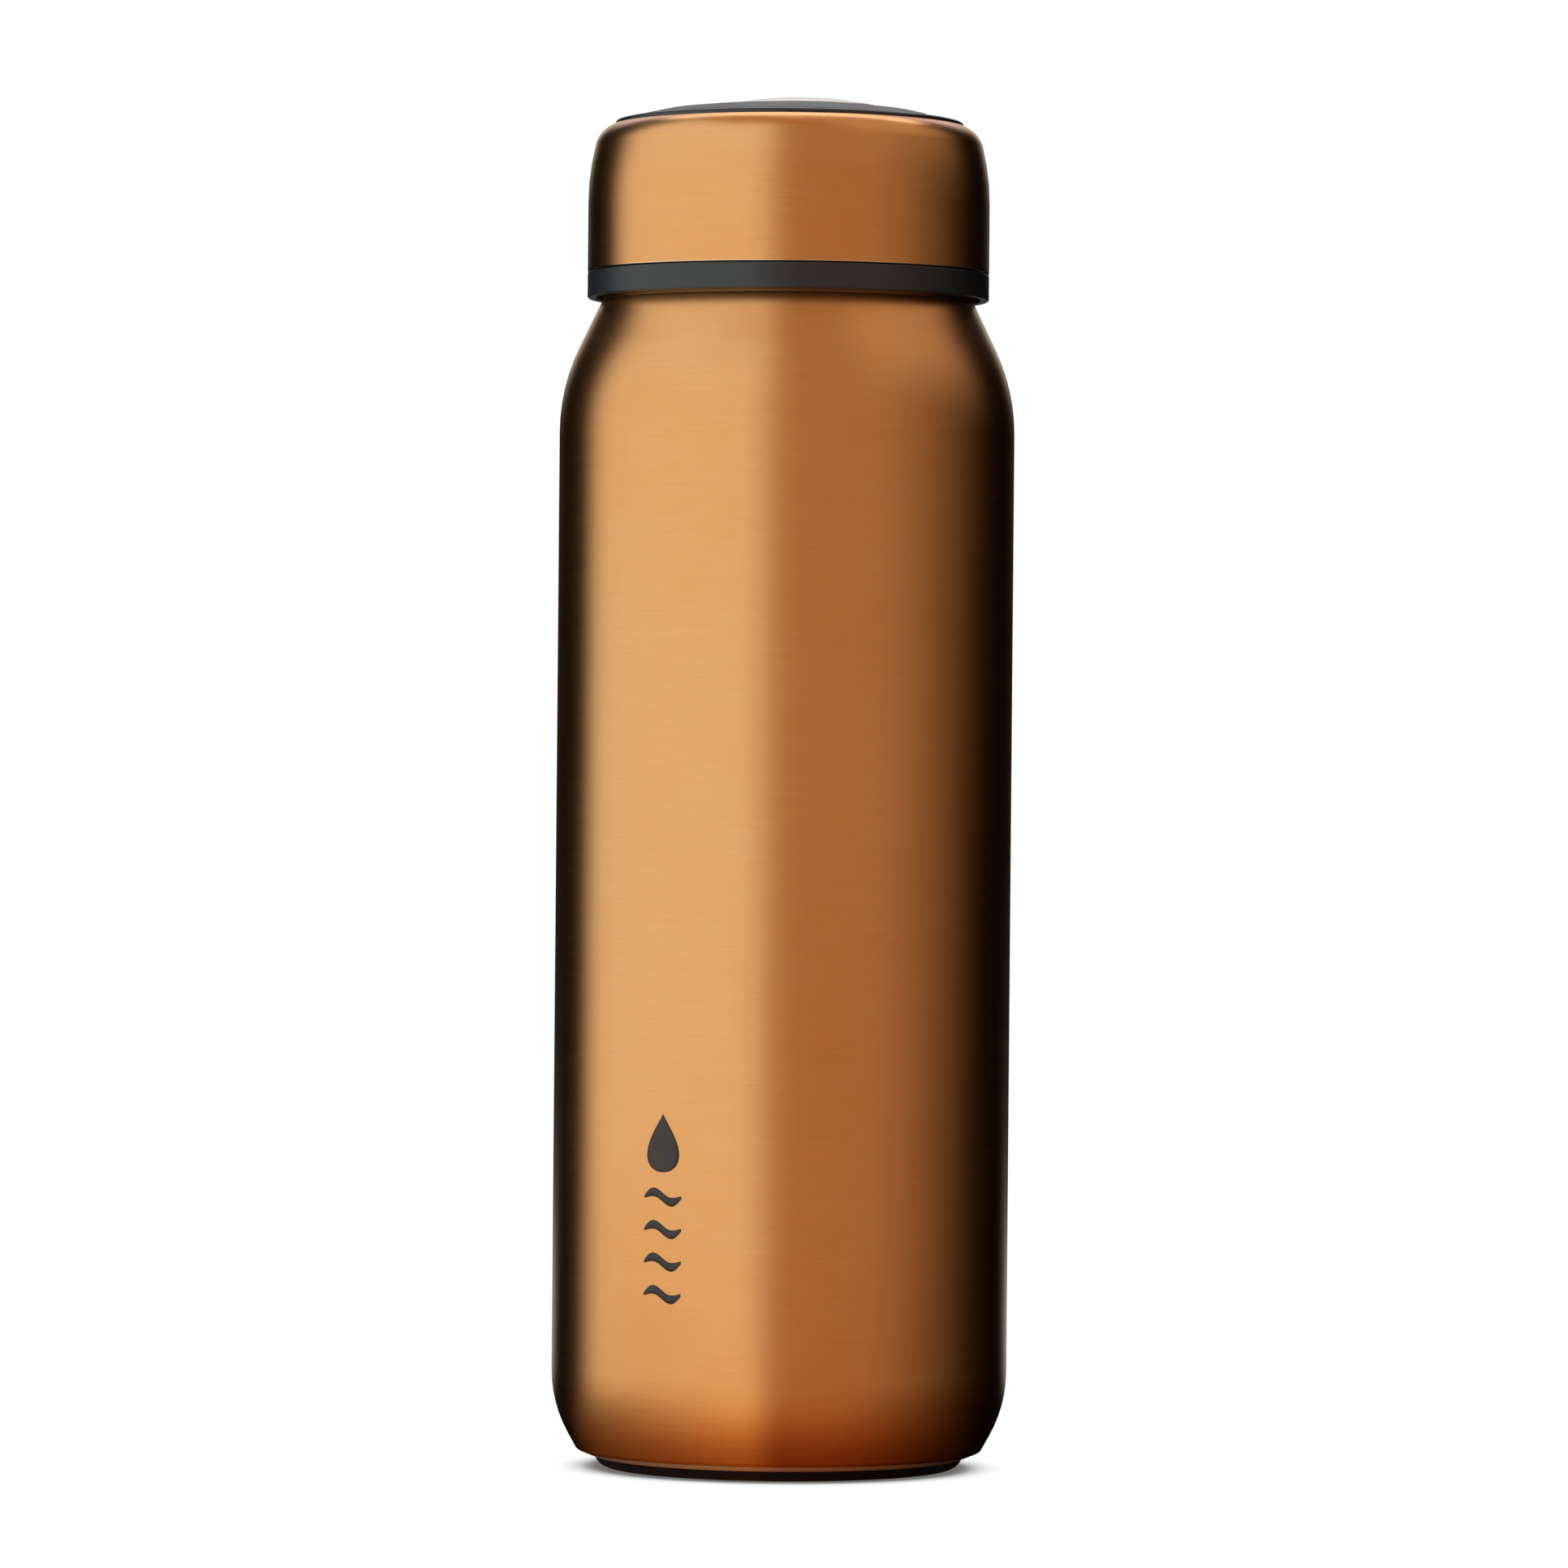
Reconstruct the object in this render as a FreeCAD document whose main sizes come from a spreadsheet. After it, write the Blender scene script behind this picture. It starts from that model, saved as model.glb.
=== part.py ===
import FreeCAD, Part
import math
import os
import Sketcher
from FreeCAD import Placement, Rotation, Vector

# A vacuum-insulated water bottle with a screw-on spout collar and a screw-on cap.
# Millimetres, +Z up. The origin is the middle of the face that the bottle stands on.

SIZES = [
    # the outer shell, from its foot to its neck
    ("pad_height", 1.8, "base pad, standing face to the shell's foot"),
    ("pad_contact_radius", 27.85, "flat standing face of the pad"),
    ("pad_edge_radius", 3.156, "rounded edge of the pad"),
    ("pad_groove_radius", 22.0, "middle of the non-slip groove in the pad"),
    ("pad_groove_width", 1.6, "width of that groove"),
    ("pad_groove_depth", 0.5, "depth of that groove"),
    ("foot_radius", 30.7, "shell's foot, where its bottom bevel starts"),
    ("foot_corner_radius", 33.8, "corner between the bottom bevel and the heel"),
    ("foot_corner_rise", 1.2, "height of that corner above the foot"),
    ("heel_arc", 21.7, "heel arc, tangent to the body"),
    ("heel_angle", 29.0, "heel's lean from the vertical, degrees"),
    ("heel_top_z", 16.2, "where the heel meets the straight body"),
    ("body_radius", 38.0, "straight body"),
    ("body_top_z", 172.6, "where the straight body meets the shoulder"),
    ("shoulder_arc", 32.55, "shoulder arc, tangent to the body"),
    ("shoulder_angle", 25.5, "shoulder's lean from the vertical, degrees"),
    ("shoulder_top_radius", 31.02, "top of the shoulder's straight part"),
    ("shoulder_top_z", 194.6, "height of the top of the shoulder"),
    ("shoulder_step_z", 195.3, "flat step between the shoulder and the neck"),
    ("neck_radius", 27.6, "outside of the neck tube"),
    ("lip_z", 204.5, "welded lip of the mouth"),
    ("shell_wall", 0.6, "outer shell sheet"),
    # the inner vessel and what the vacuum space holds
    ("vessel_radius", 35.4, "outside of the inner vessel"),
    ("vessel_wall", 0.5, "inner vessel sheet"),
    ("vessel_base_z", 6.2, "underside of the inner vessel"),
    ("vessel_corner", 14.0, "corner arc at the vessel's base"),
    ("vessel_shoulder_arc", 29.95, "vessel's shoulder arc, same centre as the shell's"),
    ("vessel_neck_radius", 26.0, "outside of the vessel's neck"),
    ("vessel_neck_z", 191.5, "where the vessel's neck starts"),
    ("plate_radius", 30.0, "base plate, butt-welded into the shell's foot"),
    ("plate_dish_radius", 19.0, "raised middle of the base plate"),
    ("plate_dish_rise", 0.9, "how far the middle is raised"),
    ("dimple_radius", 4.0, "dimple that holds the vacuum seal"),
    ("dimple_rise", 0.9, "how far the dimple is raised above the dish"),
    ("port_radius", 0.8, "evacuation hole"),
    ("seal_radius", 3.2, "solder pellet that closes the evacuation hole"),
    ("seal_height", 0.8, "thickness of the pellet"),
    ("getter_radius", 5.0, "getter pill"),
    ("getter_height", 1.6, "getter pill"),
    ("foil_thickness", 0.15, "radiation shield foil around the vessel"),
    ("foil_gap", 0.1, "play between the vessel and the foil"),
    ("foil_low_z", 24.0, "lower edge of the foil"),
    ("foil_high_z", 168.0, "upper edge of the foil"),
    # the threads: three starts each, and the same lead on both
    ("thread_starts", 3, "number of starts"),
    ("thread_pitch", 4.0, "distance between neighbouring ridges"),
    ("thread_depth", 0.9, "height of a ridge above its wall"),
    ("thread_root_half", 1.05, "half width of a ridge at its wall"),
    ("thread_crest_half", 0.45, "half width of a ridge at its crest"),
    ("thread_rise", 4.6, "how far one ridge climbs"),
    ("thread_bite", 0.25, "how far a ridge is sunk into its wall"),
    ("thread_gap", 0.5, "crest to opposite wall"),
    ("neck_thread_z", 198.75, "start of the neck's ridges"),
    ("spout_thread_z", 209.4, "start of the spout's ridges"),
    # the spout collar
    ("ring_radius", 33.54, "outside of the visible black ring"),
    ("ring_low_z", 194.95, "lower edge of the ring"),
    ("ring_high_z", 199.25, "upper edge of the ring"),
    ("ring_edge", 0.3, "small bevels on the ring's edges"),
    ("ring_inner_radius", 32.0, "outer wall of the groove under the ring"),
    ("ring_groove_radius", 30.5, "inner wall of that groove"),
    ("ring_web_z", 198.0, "roof of that groove"),
    ("rib_count", 24, "ribs across the groove"),
    ("rib_width", 0.8, "width of a rib"),
    ("rib_low_z", 195.9, "lower edge of the ribs"),
    ("collar_radius", 30.9, "outside of the collar above the ring"),
    ("collar_low_z", 195.65, "lower edge of the threaded skirt"),
    ("deck_low_z", 205.5, "underside of the collar's deck"),
    ("deck_high_z", 207.5, "top of the collar's deck"),
    ("deck_corner", 1.6, "bevel between the deck and the collar's side"),
    ("spout_radius", 21.5, "outside of the drinking spout"),
    ("spout_bore_radius", 19.0, "bore of the drinking spout"),
    ("spout_lip_z", 216.5, "drinking lip"),
    ("spout_lip_round", 1.0, "rounding of the drinking lip"),
    ("spout_flange_radius", 25.0, "flange that holds the spout under the deck"),
    ("spout_flange_z", 203.5, "underside of that flange"),
    ("spout_play", 0.05, "play between the spout and the deck's hole"),
    ("o_ring_radius", 23.3, "middle of the O-ring's section"),
    ("o_ring_section", 0.65, "radius of the O-ring's section"),
    ("gasket_play", 0.05, "gap on each side of a gasket"),
    ("collar_gasket_inner", 25.2, "bore of the collar gasket"),
    ("collar_gasket_outer", 28.4, "outside of the collar gasket"),
    # the cap
    ("sleeve_low_z", 199.4, "lower edge of the cap's metal sleeve"),
    ("sleeve_straight_z", 211.0, "where the sleeve starts to taper"),
    ("sleeve_taper_arc", 40.0, "slow arc of the taper"),
    ("sleeve_taper_z", 220.7, "where the slow arc meets the corner arc"),
    ("sleeve_corner_arc", 4.6, "corner arc"),
    ("sleeve_top_lean", 65.0, "lean of the sleeve's top flange from the vertical, degrees"),
    ("sleeve_mouth_radius", 29.2, "inner edge of the sleeve's top flange"),
    ("sleeve_wall", 0.5, "sleeve sheet"),
    ("core_radius", 32.9, "outside of the cap's core"),
    ("core_inner_radius", 31.3, "inside of the core's outer skirt"),
    ("core_low_z", 199.7, "lower edge of the core's outer skirt"),
    ("core_shoulder_radius", 31.9, "top edge of the core"),
    ("core_roof_low_z", 217.6, "underside of the core's roof"),
    ("core_roof_high_z", 219.0, "top of the core's roof"),
    ("core_thread_wall", 2.0, "wall of the core's threaded skirt"),
    ("core_thread_low_z", 208.3, "lower edge of the threaded skirt"),
    ("cap_gasket_inner", 18.6, "bore of the cap gasket"),
    ("cap_gasket_outer", 22.2, "outside of the cap gasket"),
    ("foam_radius", 24.0, "insulation disc"),
    ("foam_play", 0.05, "gap above and below the insulation disc"),
    ("top_low_z", 220.2, "underside of the cap's black top"),
    ("top_flange_radius", 30.3, "flange trapped under the sleeve"),
    ("top_flange_z", 221.9, "top of that flange"),
    ("top_neck_z", 222.5, "where the flange's bevel meets the rim"),
    ("top_rim_radius", 29.05, "outside of the black top's rim"),
    ("top_rim_z", 224.45, "top of the rim's side"),
    ("top_rim_edge", 0.2, "bevel on the rim"),
    ("dome_slope_radius", 21.5, "where the dome's slope eases"),
    ("dome_slope_z", 226.32, "height of that place"),
    ("dome_break_radius", 16.5, "where the dome's slope turns into its plateau"),
    ("dome_break_z", 226.9, "height of that break"),
    ("dome_plateau_z", 227.1, "height of the plateau"),
    ("recess_radius", 27.7, "recess that the carry loop folds into"),
    ("recess_z", 222.6, "floor of the recess"),
    ("boss_offset", 2.0, "boss and loop hole, off the cap's axis towards the hinge"),
    ("boss_radius", 16.9, "boss in the middle of the recess"),
    ("boss_edge", 0.4, "rounding of the boss's top edge"),
    ("recess_edge", 0.25, "rounding of the recess's top edge"),
    ("scallop_x", -22.4, "middle of the finger scallop under the loop's free end"),
    ("scallop_radius", 6.0, "radius of the scallop"),
    ("scallop_z", 221.3, "floor of the scallop"),
    ("disc_radius", 13.3, "top disc"),
    ("disc_seat_z", 226.45, "seat of the top disc in the boss"),
    ("disc_edge_z", 227.25, "edge of the top disc"),
    ("disc_crown_z", 228.7, "crown of the top disc"),
    ("screw_circle", 27.9, "circle of the cap's screws"),
    ("screw_count", 3, "number of cap screws"),
    ("screw_angle", 60.0, "first screw's place, degrees from the hinge"),
    ("screw_radius", 1.1, "screw shank"),
    ("screw_head_radius", 2.0, "screw head"),
    ("screw_head_height", 1.2, "screw head"),
    ("screw_socket_radius", 0.9, "drive socket in the screw head"),
    ("screw_socket_depth", 0.7, "drive socket in the screw head"),
    ("screw_tip_z", 220.8, "tip of the screws, under the finger scallop's floor"),
    ("screw_boss_radius", 2.2, "boss around each screw, under the black top"),
    # the carry loop and its hinge
    ("hinge_x", 25.0, "hinge pin's place"),
    ("hinge_z", 223.1, "hinge pin's height"),
    ("pin_radius", 0.75, "hinge pin"),
    ("pin_half_length", 9.4, "half the length of the hinge pin"),
    ("pin_play", 0.05, "running clearance between the pin and the loop"),
    ("knuckle_radius", 1.7, "the loop's hinge knuckle"),
    ("knuckle_half", 4.5, "half the length of the knuckle"),
    ("knuckle_play", 0.35, "room around the knuckle"),
    ("knuckle_side_play", 0.3, "room at each end of the knuckle"),
    ("bead_radius", 1.85, "beads of the black top that hold the pin"),
    ("bead_half", 10.0, "outer ends of the beads"),
    ("loop_radius", 27.2, "outside of the carry loop"),
    ("loop_hole_radius", 17.3, "finger hole of the carry loop"),
    ("loop_end_x", 22.5, "straight edge of the loop beside its hinge"),
    ("loop_low_z", 222.9, "underside of the folded loop"),
    ("loop_top_edge", 0.5, "rounding of the loop's top edges"),
    ("loop_low_edge", 0.2, "rounding of the loop's lower edges"),
    ("loop_drop", 0.05, "how far the folded loop lies below the dome"),
    ("web_half", 4.5, "half the width of the web between the loop and its knuckle"),
]


class Size:
    """A length that also carries the spreadsheet expression it comes from."""

    def __init__(self, value, text):
        self.value = value
        self.text = text

    def __add__(self, other):
        other = as_size(other)
        return Size(self.value + other.value, f"({self.text} + {other.text})")

    def __sub__(self, other):
        other = as_size(other)
        return Size(self.value - other.value, f"({self.text} - {other.text})")

    def __mul__(self, other):
        other = as_size(other)
        return Size(self.value * other.value, f"({self.text} * {other.text})")

    def __truediv__(self, other):
        other = as_size(other)
        return Size(self.value / other.value, f"({self.text} / {other.text})")


def as_size(thing):
    return thing if isinstance(thing, Size) else Size(float(thing), repr(thing))


def sine(angle):
    return Size(math.sin(math.radians(angle.value)), f"sin({angle.text} * 1 deg)")


def cosine(angle):
    return Size(math.cos(math.radians(angle.value)), f"cos({angle.text} * 1 deg)")


def root(square):
    return Size(math.sqrt(square.value), f"sqrt({square.text})")


doc = FreeCAD.newDocument("water_bottle")
sheet = doc.addObject("Spreadsheet::Sheet", "Sizes")
for row, (alias, number, note) in enumerate(SIZES, start=1):
    sheet.set(f"A{row}", alias)
    sheet.set(f"B{row}", str(number))
    sheet.setAlias(f"B{row}", alias)
    sheet.set(f"C{row}", note)
doc.recompute()
NUMBERS = {alias: number for alias, number, note in SIZES}


def size(alias):
    return Size(float(NUMBERS[alias]), f"Sizes.{alias}")


# ---------------------------------------------------------------- drawing tools

def new_body(name):
    body = doc.addObject("PartDesign::Body", name)
    body.Label = name
    return body


def origin_plane(body, role):
    return next(item for item in body.Origin.OriginFeatures if item.Role == role)


def new_sketch(body, name, plane="XZ_Plane", height=None):
    """A sketch on one of the body's own planes, lifted along that plane's normal."""
    sketch = body.newObject("Sketcher::SketchObject", name)
    sketch.AttachmentSupport = [(origin_plane(body, plane), "")]
    sketch.MapMode = "FlatFace"
    if height is not None:
        sketch.AttachmentOffset = Placement(Vector(0, 0, height.value), Rotation())
        sketch.setExpression("AttachmentOffset.Base.z", height.text)
    return sketch


def pin_down(sketch, edge, end, across, up):
    """Ties one end of an edge to its distances from the sketch's origin."""
    for kind, axis, distance in (("DistanceX", -2, across), ("DistanceY", -1, up)):
        if abs(distance.value) < 1e-9:
            sketch.addConstraint(Sketcher.Constraint("PointOnObject", edge, end, axis))
            continue
        if distance.value > 0:
            rule = Sketcher.Constraint(kind, -1, 1, edge, end, distance.value)
            text = distance.text
        else:
            rule = Sketcher.Constraint(kind, edge, end, -1, 1, -distance.value)
            text = f"-1 * {distance.text}"
        number = sketch.addConstraint(rule)
        sketch.setExpression(f"Constraints[{number}]", text)


def arc_between(start, finish, radius, side):
    """The short arc from start to finish; side is 1 when its centre lies to the left."""
    chord = finish - start
    left = Vector(-chord.y, chord.x, 0).normalize() * side
    offset = math.sqrt(max(radius ** 2 - chord.Length ** 2 / 4, 0))
    centre = (start + finish) * 0.5 + left * offset
    ends = (start, finish) if side > 0 else (finish, start)
    angles = [math.atan2(point.y - centre.y, point.x - centre.x) for point in ends]
    return Part.ArcOfCircle(Part.Circle(centre, Vector(0, 0, 1), radius), *angles)


def draw(sketch, outline):
    """A closed outline: (across, up) corners, or (across, up, radius, side) where an arc leaves."""
    first = sketch.GeometryCount
    corners = [tuple(as_size(part) for part in corner[:2]) for corner in outline]
    points = [Vector(across.value, up.value, 0) for across, up in corners]
    count = len(points)
    ends = []
    for place, corner in enumerate(outline):
        start, finish = points[place], points[(place + 1) % count]
        if len(corner) == 4:
            radius, side = corner[2], corner[3]
            edge = sketch.addGeometry(arc_between(start, finish, radius.value, side), False)
            number = sketch.addConstraint(Sketcher.Constraint("Radius", edge, radius.value))
            sketch.setExpression(f"Constraints[{number}]", radius.text)
            ends.append((1, 2) if side > 0 else (2, 1))
        else:
            edge = sketch.addGeometry(Part.LineSegment(start, finish), False)
            ends.append((1, 2))
    for place, (across, up) in enumerate(corners):
        edge, following = first + place, first + (place + 1) % count
        leaving = ends[(place + 1) % count][0]
        sketch.addConstraint(
            Sketcher.Constraint("Coincident", edge, ends[place][1], following, leaving))
        pin_down(sketch, edge, ends[place][0], across, up)


def draw_circle(sketch, across, up, radius):
    across, up = as_size(across), as_size(up)
    circle = Part.Circle(Vector(across.value, up.value, 0), Vector(0, 0, 1), radius.value)
    edge = sketch.addGeometry(circle, False)
    number = sketch.addConstraint(Sketcher.Constraint("Radius", edge, radius.value))
    sketch.setExpression(f"Constraints[{number}]", radius.text)
    pin_down(sketch, edge, 3, across, up)


def rectangle(left, right, low, high):
    return [(left, low), (right, low), (right, high), (left, high)]


def turned(body, outlines, kind="PartDesign::Revolution", name="Turned"):
    """Turns outlines, given as (radius, height), a full turn about the bottle's axis."""
    sketch = new_sketch(body, name + "Profile")
    for outline in outlines:
        draw(sketch, outline)
    feature = body.newObject(kind, name)
    feature.Profile = sketch
    feature.ReferenceAxis = (sketch, ["V_Axis"])
    feature.Angle = 360
    doc.recompute()
    return feature


def bored(body, outline, name):
    """Cuts a turned outline out of the body."""
    return turned(body, [outline], "PartDesign::Groove", name)


def raised(body, name, low, length, outlines=(), circles=(), kind="PartDesign::Pad", down=False):
    """Pads or pockets outlines and circles drawn at one height; upwards unless down."""
    sketch = new_sketch(body, name + "Sketch", "XY_Plane", low)
    for outline in outlines:
        draw(sketch, outline)
    for circle in circles:
        draw_circle(sketch, *circle)
    feature = body.newObject(kind, name)
    feature.Profile = sketch
    feature.Length = length.value
    feature.setExpression("Length", length.text)
    feature.Reversed = down == (kind == "PartDesign::Pad")
    doc.recompute()
    return feature


def across_y(body, name, half_length, circle=None, outline=None, kind="PartDesign::Pad"):
    """Pads or pockets a shape drawn in the XZ plane by half_length to both sides."""
    sketch = new_sketch(body, name + "Sketch")
    if circle:
        draw_circle(sketch, *circle)
    else:
        draw(sketch, outline)
    feature = body.newObject(kind, name)
    feature.Profile = sketch
    feature.SideType = "Symmetric"
    feature.Length = half_length.value * 2
    feature.setExpression("Length", f"2 * {half_length.text}")
    doc.recompute()
    return feature


def patterned(body, name, original, count_alias, last=True):
    """Repeats a feature evenly about the bottle's axis."""
    pattern = body.newObject("PartDesign::PolarPattern", name)
    pattern.Originals = [original]
    pattern.Axis = (origin_plane(body, "Z_Axis"), [""])
    pattern.Angle = 360
    pattern.setExpression("Occurrences", f"Sizes.{count_alias}")
    if last:
        body.Tip = pattern
    doc.recompute()
    return pattern


def threaded(body, wall_radius, start_z, outward):
    """Adds the thread's ridges to a wall; outward is 1 on a tube, -1 inside a skirt."""
    sunk = wall_radius - size("thread_bite") * outward
    crest = wall_radius + size("thread_depth") * outward
    wide, narrow = size("thread_root_half"), size("thread_crest_half")
    sketch = new_sketch(body, "ThreadProfile")
    outline = [(sunk, start_z - wide), (crest, start_z - narrow),
               (crest, start_z + narrow), (sunk, start_z + wide)]
    draw(sketch, outline)
    ridge = body.newObject("PartDesign::AdditiveHelix", "ThreadRidge")
    ridge.Profile = sketch
    ridge.ReferenceAxis = (origin_plane(body, "Z_Axis"), [""])
    ridge.Mode = 0
    ridge.setExpression("Pitch", "Sizes.thread_pitch * Sizes.thread_starts")
    ridge.setExpression("Height", "Sizes.thread_rise")
    doc.recompute()
    patterned(body, "ThreadStarts", ridge, "thread_starts")


def softened(body, name, alias, centre_x, radius, low, high):
    """Round the edges that run along one upright cylinder between two heights."""
    def along(edge):
        return all(abs(math.hypot(point.x - centre_x.value, point.y) - radius.value) < 0.01
                   and low.value < point.z < high.value for point in edge.discretize(9))

    tip = body.Tip
    chosen = [f"Edge{number}" for number, edge in enumerate(tip.Shape.Edges, start=1) if along(edge)]
    feature = body.newObject("PartDesign::Fillet", name)
    feature.Base = (tip, chosen)
    feature.setExpression("Radius", size(alias).text)
    doc.recompute()
    return feature


# ---------------------------------------------------------------- the bottle

def point_on_arc(centre_radius, centre_z, arc, angle, upward):
    return (centre_radius + arc * cosine(angle), centre_z + arc * sine(angle) * upward)


def shell_outline(inset):
    """The shell's side from its foot to its neck step, moved inwards by inset."""
    heel_centre = size("body_radius") - size("heel_arc")
    shoulder_centre = size("body_radius") - size("shoulder_arc")
    heel, shoulder = size("heel_arc") - inset, size("shoulder_arc") - inset
    heel_low = point_on_arc(heel_centre, size("heel_top_z"), heel, size("heel_angle"), -1)
    shoulder_high = point_on_arc(
        shoulder_centre, size("body_top_z"), shoulder, size("shoulder_angle"), 1)
    foot_z = size("pad_height")
    return [
        (size("foot_radius") - inset * 0.2, foot_z + inset),
        (size("foot_corner_radius") - inset * 0.9, foot_z + size("foot_corner_rise") + inset * 0.6),
        (*heel_low, heel, 1),
        (size("body_radius") - inset, size("heel_top_z")),
        (size("body_radius") - inset, size("body_top_z"), shoulder, 1),
        shoulder_high,
        (size("shoulder_top_radius") - inset * 1.1, size("shoulder_top_z") - inset * 0.5),
        (size("shoulder_top_radius") - inset * 1.1, size("shoulder_step_z") - inset),
        (size("neck_radius") - inset, size("shoulder_step_z") - inset),
    ]


def make_outer_shell():
    body = new_body("outer_shell")
    wall, foot_z = size("shell_wall"), size("pad_height")
    outside = shell_outline(as_size(0))
    inside = shell_outline(wall)
    # The inner side is walked back down, so an arc's data moves to its upper end.
    back = []
    for place in range(len(inside) - 1, -1, -1):
        corner = inside[place][:2]
        arc = inside[place - 1][2:] if place and len(inside[place - 1]) == 4 else ()
        back.append(corner + ((arc[0], -1) if arc else ()))
    outline = [(size("plate_radius"), foot_z)]
    outline += outside
    outline += [(size("neck_radius"), size("lip_z")), (size("neck_radius") - wall, size("lip_z"))]
    outline += back
    outline += [(size("plate_radius"), foot_z + wall)]
    turned(body, [outline])
    threaded(body, size("neck_radius"), size("neck_thread_z"), 1)
    return body


def vessel_outline(inset):
    """The inner vessel from the middle of its base to its neck, moved inwards by inset."""
    corner = size("vessel_corner") - inset
    side = size("vessel_radius") - inset
    base_z = size("vessel_base_z") + inset
    arc = size("vessel_shoulder_arc") - inset
    shoulder_centre = size("body_radius") - size("shoulder_arc")
    shoulder_side = root(arc * arc - (side - shoulder_centre) * (side - shoulder_centre))
    high = point_on_arc(shoulder_centre, size("body_top_z"), arc, size("shoulder_angle"), 1)
    return [
        (as_size(0), base_z),
        (side - corner, base_z, corner, 1),
        (side, base_z + corner),
        (side, size("body_top_z") + shoulder_side, arc, 1),
        high,
        (size("vessel_neck_radius") - inset, size("vessel_neck_z") - inset * 0.6),
    ]


def make_inner_vessel():
    body = new_body("inner_vessel")
    wall, lip_z = size("vessel_wall"), size("lip_z")
    neck, weld = size("vessel_neck_radius"), size("neck_radius") - size("shell_wall")
    turned(body, [vessel_outline(as_size(0)) + [
        (neck, lip_z - size("shell_wall")),
        (weld, lip_z - size("shell_wall")),
        (weld, lip_z),
        (as_size(0), lip_z),
    ]])
    bored(body, vessel_outline(wall) + [(neck - wall, lip_z + 1), (as_size(0), lip_z + 1)], "Hollow")
    return body


def make_base_plate():
    body = new_body("base_plate")
    low, sheet_wall = size("pad_height"), size("shell_wall")
    dish, dimple = size("plate_dish_rise"), size("dimple_rise")
    rim, middle = size("plate_dish_radius"), size("dimple_radius")
    turned(body, [[
        (size("port_radius"), low + dish + dimple),
        (middle, low + dish + dimple),
        (middle + sheet_wall, low + dish),
        (rim, low + dish),
        (rim + dish, low),
        (size("plate_radius"), low),
        (size("plate_radius"), low + sheet_wall),
        (rim + dish, low + sheet_wall),
        (rim, low + dish + sheet_wall),
        (middle + sheet_wall, low + dish + sheet_wall),
        (middle, low + dish + dimple + sheet_wall),
        (size("port_radius"), low + dish + dimple + sheet_wall),
    ]])
    return body


def make_vacuum_seal():
    body = new_body("vacuum_seal")
    roof = size("pad_height") + size("plate_dish_rise") + size("dimple_rise")
    turned(body, [rectangle(as_size(0), size("seal_radius"), roof - size("seal_height"), roof)])
    return body


def make_getter():
    body = new_body("getter")
    high = size("vessel_base_z")
    low = high - size("getter_height")
    turned(body, [[
        (as_size(0), low),
        (size("getter_radius") - 0.4, low),
        (size("getter_radius"), low + 0.4),
        (size("getter_radius"), high),
        (as_size(0), high),
    ]])
    return body


def make_radiation_shield():
    body = new_body("radiation_shield")
    inner = size("vessel_radius") + size("foil_gap")
    turned(body, [rectangle(
        inner, inner + size("foil_thickness"), size("foil_low_z"), size("foil_high_z"))])
    return body


def make_base_pad():
    body = new_body("base_pad")
    half, middle = size("pad_groove_width") / 2, size("pad_groove_radius")
    turned(body, [[
        (as_size(0), as_size(0)),
        (middle - half, as_size(0)),
        (middle - half, size("pad_groove_depth")),
        (middle + half, size("pad_groove_depth")),
        (middle + half, as_size(0)),
        (size("pad_contact_radius"), as_size(0), size("pad_edge_radius"), 1),
        (size("foot_radius"), size("pad_height")),
        (as_size(0), size("pad_height")),
    ]])
    return body


# ---------------------------------------------------------------- the spout collar

def make_collar_ring():
    body = new_body("collar_ring")
    edge, ring = size("ring_edge"), size("ring_radius")
    low, high = size("ring_low_z"), size("ring_high_z")
    bore = size("neck_radius") + size("thread_depth") + size("thread_gap")
    hole = size("spout_radius") + size("spout_play")
    turned(body, [[
        (bore, size("collar_low_z")),
        (size("ring_groove_radius"), size("collar_low_z")),
        (size("ring_groove_radius"), size("ring_web_z")),
        (size("ring_inner_radius"), size("ring_web_z")),
        (size("ring_inner_radius"), low),
        (ring - edge, low),
        (ring, low + edge),
        (ring, high - edge),
        (ring - edge, high),
        (size("collar_radius"), high),
        (size("collar_radius"), size("deck_high_z") - size("deck_corner")),
        (size("collar_radius") - size("deck_corner"), size("deck_high_z")),
        (hole, size("deck_high_z")),
        (hole, size("deck_low_z")),
        (bore, size("deck_low_z")),
    ]])
    half = size("rib_width") / 2
    rib = raised(
        body, "Rib", size("rib_low_z"), size("ring_web_z") - size("rib_low_z") + 0.1,
        [rectangle(size("ring_groove_radius") - 0.1, size("ring_inner_radius") + 0.1,
                   as_size(0) - half, half)])
    patterned(body, "Ribs", rib, "rib_count")
    threaded(body, bore, size("neck_thread_z") - size("thread_pitch") / 2, -1)
    return body


def make_drinking_spout():
    body = new_body("drinking_spout")
    outer, inner = size("spout_radius"), size("spout_bore_radius")
    lip, rounding = size("spout_lip_z"), size("spout_lip_round")
    section, ring = size("o_ring_section"), size("o_ring_radius")
    flange_top = size("deck_low_z")
    turned(body, [[
        (inner, size("spout_flange_z")),
        (size("spout_flange_radius"), size("spout_flange_z")),
        (size("spout_flange_radius"), flange_top),
        (ring + section, flange_top),
        (ring + section, flange_top - section * 2),
        (ring - section, flange_top - section * 2),
        (ring - section, flange_top),
        (outer, flange_top),
        (outer, lip - rounding, rounding, 1),
        (outer - rounding, lip),
        (inner + rounding, lip, rounding, 1),
        (inner, lip - rounding),
    ]])
    threaded(body, outer, size("spout_thread_z"), 1)
    return body


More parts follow.
